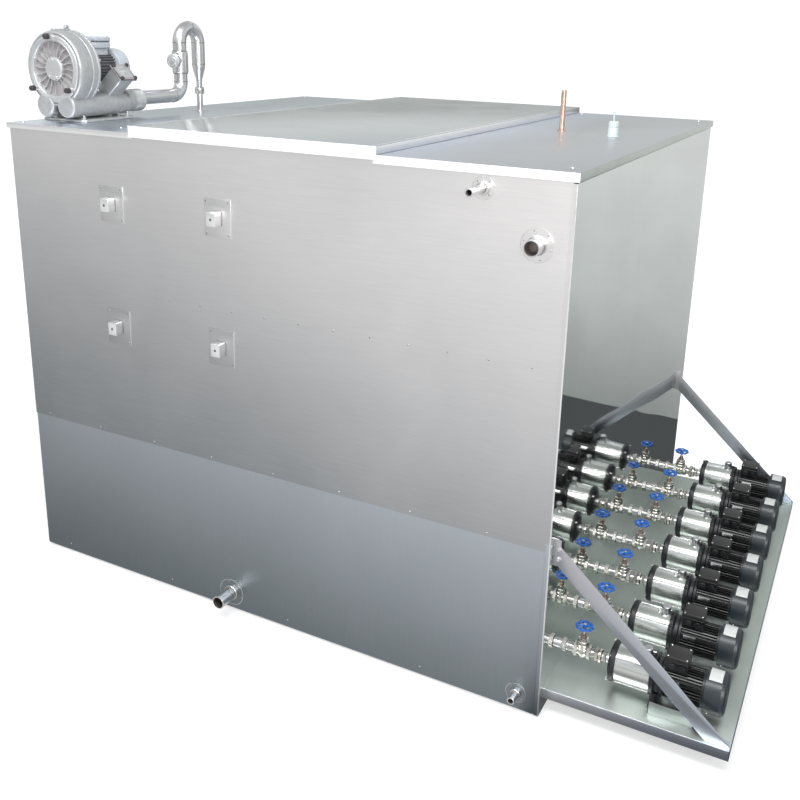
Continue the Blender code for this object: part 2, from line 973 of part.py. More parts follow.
valve = along_x(
    "valve_shape",
    [
        (0.0100, -0.060),
        (0.0134, -0.060),
        (0.0134, 0.020),
        (0.0190, 0.021),
        (0.0190, 0.036),
        (0.0134, 0.037),
        (0.0134, 0.056),
        (0.0195, 0.057),
        (0.0195, 0.104),
        (0.0125, 0.105),
        (0.0125, 0.115),
        (0.0210, 0.116),
        (0.0210, 0.135),
        (0.0125, 0.136),
        (0.0125, 0.1597),
        (0.0100, 0.1597),
    ],
    8,
    look=SATIN,
)
bonnet = turned(
    "bonnet",
    [
        (0.0055, 0.0520),
        (0.0100, 0.0520),
        (0.0100, 0.0370),
        (0.0165, 0.0350),
        (0.0165, 0.0120),
        (0.0055, 0.0120),
    ],
    8,
    (VALVE_X, 0, 0),
    collection=cutters,
)
add(valve, bonnet)

wheel = turned(
    "wheel_shape",
    [
        (0, 0.0070),
        (0.0060, 0.0070),
        (0.0065, 0.0020),
        (0.0190, 0.0010),
        (0.0210, 0.0045),
        (0.0250, 0.0020),
        (0.0250, -0.0030),
        (0.0200, -0.0050),
        (0.0040, -0.0030),
        (0.0040, -0.0480),
        (0, -0.0480),
    ],
    10,
    (0, 0, 0),
    look=BLUE,
)

corner_shift = corner.location.copy()
corner.location = (0, 0, 0)
bpy.context.view_layer.update()
meshes = {
    "pump": prototype("pump", pump),
    "motor": prototype("motor", motor),
    "rotor": prototype("rotor", rotor),
    "gate_valve": prototype("gate_valve", valve),
    "handwheel": prototype("handwheel", wheel),
}
corner.location = corner_shift

LOOKS = {
    "pump": MIRROR,
    "motor": BLACK,
    "rotor": SATIN,
    "gate_valve": SATIN,
    "handwheel": BLUE,
}
for i, y in enumerate(pump_y):
    axis = bpy.data.objects.new(f"pump_axis_{i + 1}", None)
    parts.objects.link(axis)
    axis.parent = corner
    axis.location = (LENGTH, y, PUMP_Z)
    for kind, mesh in meshes.items():
        obj = bpy.data.objects.new(f"{kind}_{i + 1}", mesh)
        link(obj, None, LOOKS[kind], axis)
        if kind == "handwheel":
            obj.location = (VALVE_X, 0, WHEEL_Z - PUMP_Z)
        else:
            obj.rotation_euler = (0, math.pi / 2, 0)

for obj in parts.objects:
    if obj.type == "MESH":
        obj.data.shade_smooth()
        obj.data.set_sharp_from_angle(angle=math.radians(35))
bpy.context.view_layer.update()
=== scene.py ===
"""Looks for the bulk milk tank: an insulated stainless ice-water tank with pumps on an end shelf and a
blower on its deck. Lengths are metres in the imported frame."""

import math

import bmesh
import bpy
from mathutils import Matrix, Vector, noise


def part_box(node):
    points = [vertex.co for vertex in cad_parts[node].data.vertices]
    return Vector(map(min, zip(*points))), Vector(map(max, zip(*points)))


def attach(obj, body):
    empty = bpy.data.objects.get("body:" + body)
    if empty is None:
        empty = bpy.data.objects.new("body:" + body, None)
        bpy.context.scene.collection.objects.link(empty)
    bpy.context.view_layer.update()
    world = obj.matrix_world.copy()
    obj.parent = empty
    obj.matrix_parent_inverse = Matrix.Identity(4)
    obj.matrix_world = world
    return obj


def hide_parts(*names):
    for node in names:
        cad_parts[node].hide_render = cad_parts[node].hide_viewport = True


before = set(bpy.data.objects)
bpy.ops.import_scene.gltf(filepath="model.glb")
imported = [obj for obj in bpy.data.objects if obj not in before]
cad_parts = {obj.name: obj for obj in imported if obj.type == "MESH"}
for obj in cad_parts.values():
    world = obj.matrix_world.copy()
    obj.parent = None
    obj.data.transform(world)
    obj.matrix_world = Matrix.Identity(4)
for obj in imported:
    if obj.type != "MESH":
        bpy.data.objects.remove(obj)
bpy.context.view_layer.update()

# ---------------------------------------------------------------- where things are, from the frame
panel_lo, panel_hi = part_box("pump_end_panel")
skin_lo, skin_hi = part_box("upper_skin")
lower_lo, lower_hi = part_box("lower_skin")
shelf_lo, shelf_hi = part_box("pump_shelf")
cover_lo, cover_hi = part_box("centre_cover")
left_lo, left_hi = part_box("left_deck")
right_lo, right_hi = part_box("right_deck")
CORNER = Vector((skin_lo.x, panel_lo.y, 0.0))
LENGTH = panel_hi.x - CORNER.x
DEPTH = panel_hi.y - CORNER.y
HEIGHT = right_hi.z
HOME = Matrix.Translation(CORNER)


def local(node):
    """A node's box measured from the tank's front left bottom corner."""
    lo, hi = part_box(node)
    return lo - CORNER, hi - CORNER


# ---------------------------------------------------------------- camera
RIGHT = Vector((0.8863, 0.4626, 0.0218)).normalized()
FORWARD = Vector((-0.4387, 0.8537, -0.2807)).normalized()
DOWN = FORWARD.cross(RIGHT).normalized()
RIGHT = DOWN.cross(FORWARD).normalized()
camera = bpy.data.objects.new("camera", bpy.data.cameras.new("camera"))
bpy.context.scene.collection.objects.link(camera)
camera.data.sensor_width = 36
camera.data.lens = 42.27
camera.data.shift_y = -0.1169
camera.data.clip_start = 0.05
camera.data.clip_end = 200
eye = CORNER + Vector((2.4855, -2.103, 1.8015))
camera.matrix_world = Matrix(
    (
        (RIGHT.x, -DOWN.x, -FORWARD.x, eye.x),
        (RIGHT.y, -DOWN.y, -FORWARD.y, eye.y),
        (RIGHT.z, -DOWN.z, -FORWARD.z, eye.z),
        (0, 0, 0, 1),
    )
)
bpy.context.scene.camera = camera


# ---------------------------------------------------------------- materials
class Nodes:
    """A material under construction."""

    def __init__(self, name):
        self.material = bpy.data.materials.new(name)
        self.material.use_nodes = True
        self.tree = self.material.node_tree
        self.shader = self.tree.nodes["Principled BSDF"]
        self.coords = self.add("ShaderNodeTexCoord").outputs["Object"]

    def add(self, kind, **settings):
        node = self.tree.nodes.new(kind)
        for key, value in settings.items():
            setattr(node, key, value)
        return node

    def join(self, out, into):
        self.tree.links.new(out, into)

    def noise(self, scale, detail=3.0, stretch=(1, 1, 1), roughness=0.5, distortion=0.0):
        mapping = self.add("ShaderNodeMapping")
        mapping.inputs["Scale"].default_value = stretch
        self.join(self.coords, mapping.inputs["Vector"])
        made = self.add("ShaderNodeTexNoise")
        made.inputs["Scale"].default_value = scale
        made.inputs["Detail"].default_value = detail
        made.inputs["Roughness"].default_value = roughness
        made.inputs["Distortion"].default_value = distortion
        self.join(mapping.outputs["Vector"], made.inputs["Vector"])
        return made.outputs["Fac"]

    def spread(self, value, low, high, to_low, to_high, smooth=False):
        made = self.add("ShaderNodeMapRange")
        if smooth:
            made.interpolation_type = "SMOOTHSTEP"
        for key, number in (
            ("From Min", low),
            ("From Max", high),
            ("To Min", to_low),
            ("To Max", to_high),
        ):
            made.inputs[key].default_value = number
        self.join(value, made.inputs["Value"])
        return made.outputs["Result"]

    def maths(self, operation, a, b):
        made = self.add("ShaderNodeMath", operation=operation)
        for socket, value in zip(made.inputs, (a, b)):
            if isinstance(value, (int, float)):
                socket.default_value = value
            else:
                self.join(value, socket)
        return made.outputs["Value"]

    def along(self, direction, offset=0.0):
        made = self.add("ShaderNodeVectorMath", operation="DOT_PRODUCT")
        self.join(self.coords, made.inputs[0])
        made.inputs[1].default_value = direction
        return self.maths("ADD", made.outputs["Value"], offset)

    def blend(self, factor, a, b, kind="MIX"):
        made = self.add("ShaderNodeMix", data_type="RGBA", blend_type=kind)
        if isinstance(factor, (int, float)):
            made.inputs["Factor"].default_value = factor
        else:
            self.join(factor, made.inputs["Factor"])
        for socket, value in zip((made.inputs[6], made.inputs[7]), (a, b)):
            if isinstance(value, (tuple, list)):
                socket.default_value = (*value, 1)
            else:
                self.join(value, socket)
        return made.outputs[2]

    def bump(self, height, strength, distance, after=None):
        made = self.add("ShaderNodeBump")
        made.inputs["Strength"].default_value = strength
        made.inputs["Distance"].default_value = distance
        self.join(height, made.inputs["Height"])
        if after is not None:
            self.join(after, made.inputs["Normal"])
        return made.outputs["Normal"]

    def surface(self, colour, roughness, metallic=0.0, normal=None, **sockets):
        if isinstance(colour, tuple):
            self.shader.inputs["Base Color"].default_value = (*colour, 1)
        else:
            self.join(colour, self.shader.inputs["Base Color"])
        if isinstance(roughness, (int, float)):
            self.shader.inputs["Roughness"].default_value = roughness
        else:
            self.join(roughness, self.shader.inputs["Roughness"])
        self.shader.inputs["Metallic"].default_value = metallic
        if normal is not None:
            self.join(normal, self.shader.inputs["Normal"])
        for key, value in sockets.items():
            self.shader.inputs[key.replace("_", " ")].default_value = value
        return self.material


def satin(name, dark, light, rough, stretch, shade=None, clouds=1.6, bump=0.04, anisotropic=0.3, mottle=1.0, metallic=1.0):
    """Brushed or rolled sheet: a fine grain along one way, soft clouds of handling, and a slow change of tone. Where
    shade is given, that change is painted light and shade graded along its direction; otherwise it follows the clouds.
    """
    n = Nodes(name)
    grain = n.noise(1.0, 4.0, stretch, 0.6)
    cloud = n.noise(clouds, 3.0, (1, 1, 1), 0.55, 0.6)
    if shade:
        # Painted light and shade: the colour is graded by position along the given direction.
        direction, low, high = shade
        tone_and_painted_light = n.spread(n.along(direction), low, high, 0.0, 1.0, True)
    else:
        tone_and_painted_light = n.spread(cloud, 0.3, 0.7, 0.3, 0.7)
    wander = n.maths("MULTIPLY", n.maths("SUBTRACT", cloud, 0.5), 0.35 * mottle)
    fine = n.maths("MULTIPLY", n.maths("SUBTRACT", grain, 0.5), 0.22 * mottle)
    factor = n.maths("ADD", tone_and_painted_light, n.maths("ADD", wander, fine))
    clamp = n.add("ShaderNodeClamp")
    n.join(factor, clamp.inputs["Value"])
    colour = n.blend(clamp.outputs["Result"], dark, light)
    smudge = n.noise(7.0, 4.0, (1, 1, 1), 0.6)
    roughness = n.maths(
        "ADD",
        n.spread(grain, 0.2, 0.8, rough - 0.05, rough + 0.05),
        n.spread(smudge, 0.35, 0.75, -0.02, 0.05),
    )
    normal = n.bump(grain, bump, 0.0006)
    return n.surface(colour, roughness, metallic, normal, Anisotropic=anisotropic)


def plain_metal(name, colour, rough, scale=60.0, vary=0.12, bump=0.05, metallic=1.0, wear=None):
    n = Nodes(name)
    fine = n.noise(scale, 4.0, (1, 1, 1), 0.6)
    broad = n.noise(scale * 0.16, 2.0)
    dark = tuple(max(c * (1 - vary), 0) for c in colour)
    light = tuple(min(c * (1 + vary), 1) for c in colour)
    tint = n.blend(n.spread(broad, 0.3, 0.7, 0, 1), dark, light)
    if wear:
        edge = n.add("ShaderNodeNewGeometry").outputs["Pointiness"]
        tint = n.blend(n.spread(edge, 0.53, 0.60, 0.0, 0.8), tint, wear)
    roughness = n.spread(fine, 0.3, 0.7, rough * 0.85, rough * 1.15)
    return n.surface(tint, roughness, metallic, n.bump(fine, bump, 0.0006))


def smooth_metal(name, colour, rough):
    """Drawn or rolled metal with nothing but a slow drift of tone."""
    n = Nodes(name)
    broad = n.noise(9.0, 2.0)
    tint = n.blend(n.spread(broad, 0.3, 0.7, 0, 1), tuple(c * 0.95 for c in colour), tuple(c * 1.04 for c in colour))
    return n.surface(tint, n.spread(broad, 0.3, 0.7, rough * 0.97, rough * 1.03), 1.0)


def paint(name, colour, rough, peel=240.0, bump=0.08, dust=(0.2, 0.2, 0.2), dust_amount=0.05, coat=0.0):
    n = Nodes(name)
    skin = n.noise(peel, 2.0)
    broad = n.noise(26.0, 4.0, (1, 1, 1), 0.6)
    tint = n.blend(n.spread(broad, 0.45, 0.8, 0.0, dust_amount), colour, dust)
    roughness = n.spread(broad, 0.3, 0.7, rough * 0.85, rough * 1.2)
    n.surface(tint, roughness, 0.0, n.bump(skin, bump, 0.0004))
    n.shader.inputs["Coat Weight"].default_value = coat
    return n.material


# The two sheets of the nozzle face, and the other sheets of the walls. The upper sheet is graded with painted light,
# brighter towards the top and the right; the lower sheet with painted shade, darker towards the bottom.
FRONT = satin("upper_sheet", (0.25, 0.275, 0.295), (0.93, 0.91, 0.91), 0.36, (9, 9, 420), ((0.26, 0.0, 1.0), -0.065, 1.95), mottle=0.8)
LOWER = satin("lower_sheet", (0.12, 0.145, 0.155), (0.70, 0.75, 0.81), 0.38, (420, 9, 9), ((0.13, 0.0, 1.0), -0.40, 1.20), mottle=0.4)
# Painted light: the left deck is brighter and bluer towards its front edge.
DECK = satin("left_deck_sheet", (0.86, 0.90, 0.98), (0.52, 0.56, 0.60), 0.30, (14, 300, 14), ((0.0, 1.0, 0.0), -0.90, -0.10), bump=0.02)
# Painted reflection: the right deck is bluer towards its left end and plain grey towards the pump end.
DECK_RIGHT = satin("right_deck_sheet", (0.64, 0.68, 0.79), (0.61, 0.62, 0.64), 0.32, (14, 300, 14), ((1.0, 0.0, 0.0), 0.08, 0.50), bump=0.02)
COVER = satin("cover_sheet", (0.60, 0.63, 0.65), (0.70, 0.72, 0.73), 0.21, (300, 14, 14), bump=0.015)
LIP = satin("folded_lip", (0.88, 0.89, 0.90), (0.98, 0.98, 0.98), 0.34, (40, 9, 200), bump=0.015)
# A lit copy of the lip sheet, whiter and half metallic: painted light on the right deck's and the cover's lips.
LIP_BRIGHT = satin("lit_lip_painted_light", (0.90, 0.91, 0.92), (0.96, 0.96, 0.96), 0.36, (40, 9, 200), bump=0.01, metallic=0.5)
# A darker copy of the lip sheet: painted shade on the right deck's end lip.
LIP_SIDE = satin("shaded_lip", (0.42, 0.45, 0.43), (0.52, 0.55, 0.53), 0.34, (9, 40, 200), bump=0.015)
# Painted light: the shelf's front strip is brighter than the rest of its top.
SHELF = satin("shelf_sheet", (0.90, 0.95, 0.92), (0.48, 0.53, 0.50), 0.42, (90, 10, 10), ((0.0, 1.0, 0.0), -0.84, -0.56), bump=0.01, anisotropic=0.1, mottle=0.5)
# Painted light: the shelf's skirt is brighter towards the wall end and darker towards its free end.
SHELF_EDGE = satin("shelf_edge", (0.90, 0.92, 0.97), (0.43, 0.46, 0.54), 0.36, (30, 200, 200), ((1.0, 0.0, 0.0), 0.70, 1.15), bump=0.015)
# Painted light: the struts and base frame are bluer and a little brighter low down.
BAR = satin("strut_bar", (0.60, 0.65, 0.72), (0.57, 0.56, 0.59), 0.40, (90, 90, 90), ((0.0, 0.0, 1.0), 0.10, 0.60), bump=0.02)
PIPE = smooth_metal("welded_pipe", (0.72, 0.72, 0.73), 0.30)
# A dark metal for bores and holes: painted shade for the dark inside them.
BORE = plain_metal("bore_painted_shade", (0.24, 0.21, 0.20), 0.5, 90.0, 0.3)
WELD = plain_metal("weld_bead", (0.42, 0.40, 0.38), 0.32, 220.0, 0.35, 0.3)
FITTING = plain_metal("cast_fitting", (0.66, 0.64, 0.60), 0.25, 260.0, 0.22, 0.25)
THREAD = plain_metal("thread", (0.40, 0.39, 0.36), 0.35, 300.0, 0.3, 0.2)
BRONZE = plain_metal("bronze_gland", (0.50, 0.39, 0.33), 0.32, 200.0, 0.2, 0.2)
COPPER = plain_metal("copper_tube", (0.72, 0.52, 0.42), 0.34, 120.0, 0.2, 0.1)
CHROME = plain_metal("bright_screw", (0.78, 0.78, 0.78), 0.18, 140.0, 0.06)
PLUG = plain_metal("turned_plug", (0.50, 0.51, 0.52), 0.30, 160.0, 0.12, 0.06)
ROTOR = plain_metal("machined_steel", (0.5, 0.5, 0.5), 0.35, 140.0, 0.1)
CAST = plain_metal("cast_aluminium", (0.44, 0.45, 0.455), 0.44, 420.0, 0.08, 0.05, 0.6)
CAST_BRIGHT = plain_metal("machined_aluminium", (0.56, 0.57, 0.58), 0.36, 300.0, 0.06, 0.03, 0.7)
# A darker copy of the casting: painted shade, behind the blower's spokes and in the duct's flange.
DARK_CAST = plain_metal("shaded_casting", (0.36, 0.335, 0.34), 0.55, 300.0, 0.15, 0.08, 0.4)
GALVANISED = plain_metal("galvanised_channel", (0.43, 0.47, 0.46), 0.36, 36.0, 0.2, 0.06)
BLACK = paint("black_paint", (0.0045, 0.0045, 0.005), 0.30, coat=0.2)
BLACK_SATIN = paint("black_casting", (0.008, 0.009, 0.011), 0.40, 420.0, 0.2)
BOX_LID = paint("terminal_box_lid", (0.013, 0.0125, 0.012), 0.44, 300.0, 0.1)
FAN = paint("fan_cover_paint", (0.014, 0.020, 0.025), 0.38, coat=0.1)
BLUE = paint("blue_enamel", (0.003, 0.112, 0.48), 0.28, 300.0, 0.12, (0.004, 0.045, 0.18), 0.5, 0.3)
PLATE = paint("blank_plate", (0.55, 0.57, 0.565), 0.42, 90.0, 0.05, (0.40, 0.42, 0.41), 0.6)
WHITE = paint("sensor_body", (0.50, 0.56, 0.59), 0.4, 200.0, 0.05, (0.5, 0.5, 0.48), 0.3)
GREY_CAP = paint("grey_cap", (0.16, 0.18, 0.19), 0.45, 200.0)
RUBBER = paint("rubber", (0.035, 0.030, 0.033), 0.55, 500.0, 0.25, (0.12, 0.11, 0.1), 0.15)
MOTOR_GREY = paint("blower_motor_paint", (0.11, 0.115, 0.125), 0.42, 300.0, 0.1)
BOX_GREY = paint("terminal_box_grey", (0.40, 0.43, 0.47), 0.4, 300.0, 0.08, (0.3, 0.3, 0.32), 0.3)
FOAM = paint("insulation_foam", (0.72, 0.62, 0.34), 0.9, 60.0, 0.5, (0.5, 0.42, 0.22), 0.6)
GASKET = paint("gasket", (0.03, 0.03, 0.032), 0.7, 300.0, 0.2)


def polished():
    """Mirror sheet with a film of handling marks."""
    n = Nodes("mirror_sheet")
    film = n.noise(2.4, 5.0, (1, 1, 0.35), 0.6, 0.4)
    wipe = n.noise(1.0, 3.0, (40, 40, 2.0), 0.5)
    colour = n.blend(n.spread(film, 0.3, 0.75, 0, 1), (0.56, 0.595, 0.58), (0.63, 0.655, 0.645))
    # Painted shade: it is darkened a little towards the far upright.
    colour = n.blend(n.spread(n.along((0.0, 1.0, 0.0)), -0.6, 0.8, 0.0, 0.9), colour, (0.45, 0.475, 0.465))
    roughness = n.maths(
        "ADD",
        n.spread(film, 0.35, 0.75, 0.022, 0.045),
        n.spread(wipe, 0.55, 0.8, 0.0, 0.015),
    )
    return n.surface(colour, roughness, 1.0)


MIRROR = polished()


def sleeve():
    """Bright drawn steel with a fine ring grain."""
    n = Nodes("pump_sleeve_steel")
    grain = n.noise(1.0, 3.0, (700, 20, 20), 0.6)
    broad = n.noise(18.0, 3.0)
    colour = n.blend(n.spread(broad, 0.3, 0.7, 0, 1), (0.68, 0.70, 0.68), (0.74, 0.755, 0.745))
    roughness = n.spread(grain, 0.3, 0.7, 0.24, 0.26)
    return n.surface(colour, roughness, 1.0, None)


SLEEVE = sleeve()


# ---------------------------------------------------------------- shapes
def rounded(points, radius, steps=3):
    """A profile with each inner corner eased."""
    made = [points[0]]
    for before, at, after in zip(points, points[1:], points[2:]):
        a, p, b = Vector(before), Vector(at), Vector(after)
        reach = min(radius, (a - p).length * 0.45, (b - p).length * 0.45)
        if reach < 1e-5:
            made.append(at)
            continue
        start, end = p + (a - p).normalized() * reach, p + (b - p).normalized() * reach
        for i in range(steps + 1):
            t = i / steps
            q = start * (1 - t) ** 2 + p * 2 * t * (1 - t) + end * t**2
            made.append(tuple(q))
    made.append(points[-1])
    return made


def turn_to(direction):
    return Vector(direction).to_track_quat("Z", "Y").to_matrix().to_4x4()


class Shape:
    """Closed shapes gathered into one mesh, each with its own material."""

    def __init__(self):
        self.mesh = bmesh.new()
        self.materials = []

    def take(self, part, material, matrix=None):
        if matrix is not None:
            bmesh.ops.transform(part, matrix=matrix, verts=part.verts)
        bmesh.ops.recalc_face_normals(part, faces=part.faces)
        if material not in self.materials:
            self.materials.append(material)
        index = self.materials.index(material)
        for face in part.faces:
            face.material_index = index
            face.smooth = True
        held = bpy.data.meshes.new("held")
        part.to_mesh(held)
        part.free()
        self.mesh.from_mesh(held)
        bpy.data.meshes.remove(held)

    def box(self, low, high, material, bevel=0.0006, segments=2, matrix=None):
        low, high = Vector(low), Vector(high)
        part = bmesh.new()
        bmesh.ops.create_cube(part, size=1)
        bmesh.ops.scale(part, vec=high - low, verts=part.verts)
        bmesh.ops.translate(part, vec=(low + high) / 2, verts=part.verts)
        if bevel:
            bmesh.ops.bevel(
                part,
                geom=list(part.edges),
                offset=bevel,
                segments=segments,
                profile=0.5,
                affect="EDGES",
                clamp_overlap=True,
            )
        self.take(part, material, matrix)

    def prism(self, outline, low, high, material, matrix=None, bevel=0.0, segments=2):
        """An outline in XY raised along Z."""
        part = bmesh.new()
        under = [part.verts.new((x, y, low)) for x, y in outline]
        over = [part.verts.new((x, y, high)) for x, y in outline]
        part.faces.new(under[::-1])
        part.faces.new(over)
        for i in range(len(outline)):
            j = (i + 1) % len(outline)
            part.faces.new((under[i], under[j], over[j], over[i]))
        bmesh.ops.recalc_face_normals(part, faces=part.faces)
        if bevel:
            bmesh.ops.bevel(
                part,
                geom=list(part.edges),
                offset=bevel,
                segments=segments,
                profile=0.5,
                affect="EDGES",
                clamp_overlap=True,
            )
        self.take(part, material, matrix)

    def lathe(self, profile, material, place=(0, 0, 0), direction=(0, 0, 1), steps=32, ease=0.0, wobble=None):
        """A profile of (radius, height) turned about a line. It is closed on the axis or back on itself."""
        if ease:
            profile = rounded(profile, ease)
        part = bmesh.new()
        rings = []
        for r, h in profile:
            if r < 1e-7:
                rings.append([part.verts.new((0, 0, h))])
                continue
            ring = []
            for k in range(steps):
                a = 2 * math.pi * k / steps
                s = r + (wobble(a, r, h) if wobble else 0)
                ring.append(part.verts.new((s * math.cos(a), s * math.sin(a), h)))
            rings.append(ring)
        pairs = list(zip(rings, rings[1:]))
        if len(rings[0]) > 1 and len(rings[-1]) > 1:
            pairs.append((rings[-1], rings[0]))
        for a, b in pairs:
            for k in range(steps):
                m = (k + 1) % steps
                corners = [a[k % len(a)], a[m % len(a)], b[m % len(b)], b[k % len(b)]]
                unique = []
                for v in corners:
                    if v not in unique:
                        unique.append(v)
                if len(unique) > 2:
                    part.faces.new(unique)
        self.take(part, material, Matrix.Translation(Vector(place)) @ turn_to(direction))

    def rod(self, a, b, radius, material, steps=24, ease=0.0005):
        a, b = Vector(a), Vector(b)
        long = (b - a).length
        self.lathe(
            [(0, 0), (radius, 0), (radius, long), (0, long)],
            material,
            a,
            b - a,
            steps,
            ease,
        )

    def hexagon(self, a, b, across, material, turn=0.0):
        """A hexagonal bar with its corners turned off at both ends. across is over the flats."""
        a, b = Vector(a), Vector(b)
        long = (b - a).length
        corner = across / 2 / math.cos(math.pi / 6)
        part = bmesh.new()
        rows = ((0.0, across / 2 * 0.96), (long * 0.14, corner), (long * 0.86, corner), (long, across / 2 * 0.96))
        rings = []
        for h, r in rows:
            rings.append(
                [
                    part.verts.new(
                        (
                            r * math.cos(turn + math.pi * k / 3),
                            r * math.sin(turn + math.pi * k / 3),
                            h,
                        )
                    )
                    for k in range(6)
                ]
            )
        part.faces.new(rings[0][::-1])
        part.faces.new(rings[-1])
        for low, high in zip(rings, rings[1:]):
            for k in range(6):
                m = (k + 1) % 6
                part.faces.new((low[k], low[m], high[m], high[k]))
        self.take(part, material, Matrix.Translation(a) @ turn_to(b - a))

    def tube(self, path, radius, material, steps=20, closed=False, up=None):
        """A round bar along points. A closed one lies flat about up."""
        path = [Vector(p) for p in path]
        count = len(path)
        part = bmesh.new()
        rings = []
        side = None
        for i, at in enumerate(path):
            if closed:
                ahead = (path[(i + 1) % count] - path[i - 1]).normalized()
            else:
                ahead = (path[min(i + 1, count - 1)] - path[max(i - 1, 0)]).normalized()
            if up is not None:
                side = ahead.cross(Vector(up)).normalized()
            elif side is None:
                side = ahead.orthogonal().normalized()
            else:
                side = (side - ahead * side.dot(ahead)).normalized()
            other = ahead.cross(side)
            r = radius[i] if isinstance(radius, (list, tuple)) else radius
            rings.append(
                [
                    part.verts.new(
                        at
                        + side * (r * math.cos(2 * math.pi * k / steps))
                        + other * (r * math.sin(2 * math.pi * k / steps))
                    )
                    for k in range(steps)
                ]
            )
        pairs = list(zip(rings, rings[1:]))
        if closed:
            pairs.append((rings[-1], rings[0]))
        else:
            part.faces.new(rings[0][::-1])
            part.faces.new(rings[-1])
        for a, b in pairs:
            for k in range(steps):
                m = (k + 1) % steps
                part.faces.new((a[k], a[m], b[m], b[k]))
        self.take(part, material)

    def dome(self, at, direction, radius, height, material, steps=14):
        """A low round head, such as a rivet's."""
        profile = [(0, -0.0006), (radius, -0.0006), (radius, 0.0002)]
        for i in range(1, 5):
            a = math.pi / 2 * i / 5
            profile.append((radius * math.cos(a), height * math.sin(a)))
        profile.append((0, height))
        self.lathe(profile, material, at, direction, steps)

    def done(self, name, body, replaces=(), matrix=HOME, at=None, sharp=33):
        mesh = bpy.data.meshes.new(name)
        if at is None:
            bmesh.ops.transform(self.mesh, matrix=matrix, verts=self.mesh.verts)
        self.mesh.to_mesh(mesh)
        self.mesh.free()
        for material in self.materials:
            mesh.materials.append(material)
        mesh.set_sharp_from_angle(angle=math.radians(sharp))
        return piece(name, mesh, body, replaces, at)


def piece(name, mesh, body, replaces=(), at=None):
    obj = bpy.data.objects.new(name, mesh)
    bpy.context.scene.collection.objects.link(obj)
    if at is not None:
        obj.location = at
    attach(obj, body)
    if replaces:
        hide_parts(*replaces)
    return obj


def wear(node, material):
    """A CAD node that is shown as it is, in a better material."""
    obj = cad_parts[node]
    obj.data.materials.clear()
    obj.data.materials.append(material)


# ---------------------------------------------------------------- pieces inside the tank, as the frame has them
wear("base_frame", BAR)
wear("insulation", FOAM)
wear("inner_tank", PIPE)
wear("evaporator_coil", COPPER)
wear("air_manifold", PIPE)
wear("blower_rotor", CAST)
for i in range(1, 8):
    wear(f"rotor_{i}", ROTOR)

# ---------------------------------------------------------------- wall sheets
SKIN = 0.0015


def ring_sheet(shape, x0, y0, x1, y1, z0, z1, thick, material, radius=0.004, arc=4):
    """A bent sleeve of sheet with rounded corners, open above and below."""

    def loop(inset, r):
        found = []
        for cx, cy, a in (
            (x1 - r - inset, y0 + r + inset, -90),
            (x1 - r - inset, y1 - r - inset, 0),
            (x0 + r + inset, y1 - r - inset, 90),
            (x0 + r + inset, y0 + r + inset, 180),
        ):
            for k in range(arc + 1):
                t = math.radians(a + 90 * k / arc)
                found.append((cx + r * math.cos(t), cy + r * math.sin(t)))
        return found

    outer, inner = loop(0, radius), loop(thick, max(radius - thick, 0.0005))
    part = bmesh.new()
    ease = 0.0003
    rings = [
        [part.verts.new((x, y, z0 + ease)) for x, y in outer],
        [part.verts.new((x, y, z1 - ease)) for x, y in outer],
        [part.verts.new((x, y, z1)) for x, y in loop(ease, radius - ease)],
        [part.verts.new((x, y, z1)) for x, y in inner],
        [part.verts.new((x, y, z0)) for x, y in inner],
        [part.verts.new((x, y, z0)) for x, y in loop(ease, radius - ease)],
    ]
    for a, b in zip(rings, rings[1:] + rings[:1]):
        for k in range(len(a)):
            m = (k + 1) % len(a)
            part.faces.new((a[k], a[m], b[m], b[k]))
    shape.take(part, material)


end_x = LENGTH - SKIN - 0.0003
lower = local("lower_skin")
upper = local("upper_skin")
s = Shape()
ring_sheet(s, lower[0].x, lower[0].y, lower[1].x, lower[1].y, lower[0].z, lower[1].z, SKIN, LOWER)
for x in (0.115, 0.575, 1.035, 1.495):
    s.dome((x, lower[0].y, 0.034), (0, -1, 0), 0.0022, 0.0009, CHROME)
s.done("lower_wall_sheet", "tank", ("lower_skin",))

s = Shape()
ring_sheet(s, 0, 0, end_x, DEPTH, upper[0].z, upper[1].z, SKIN, FRONT)
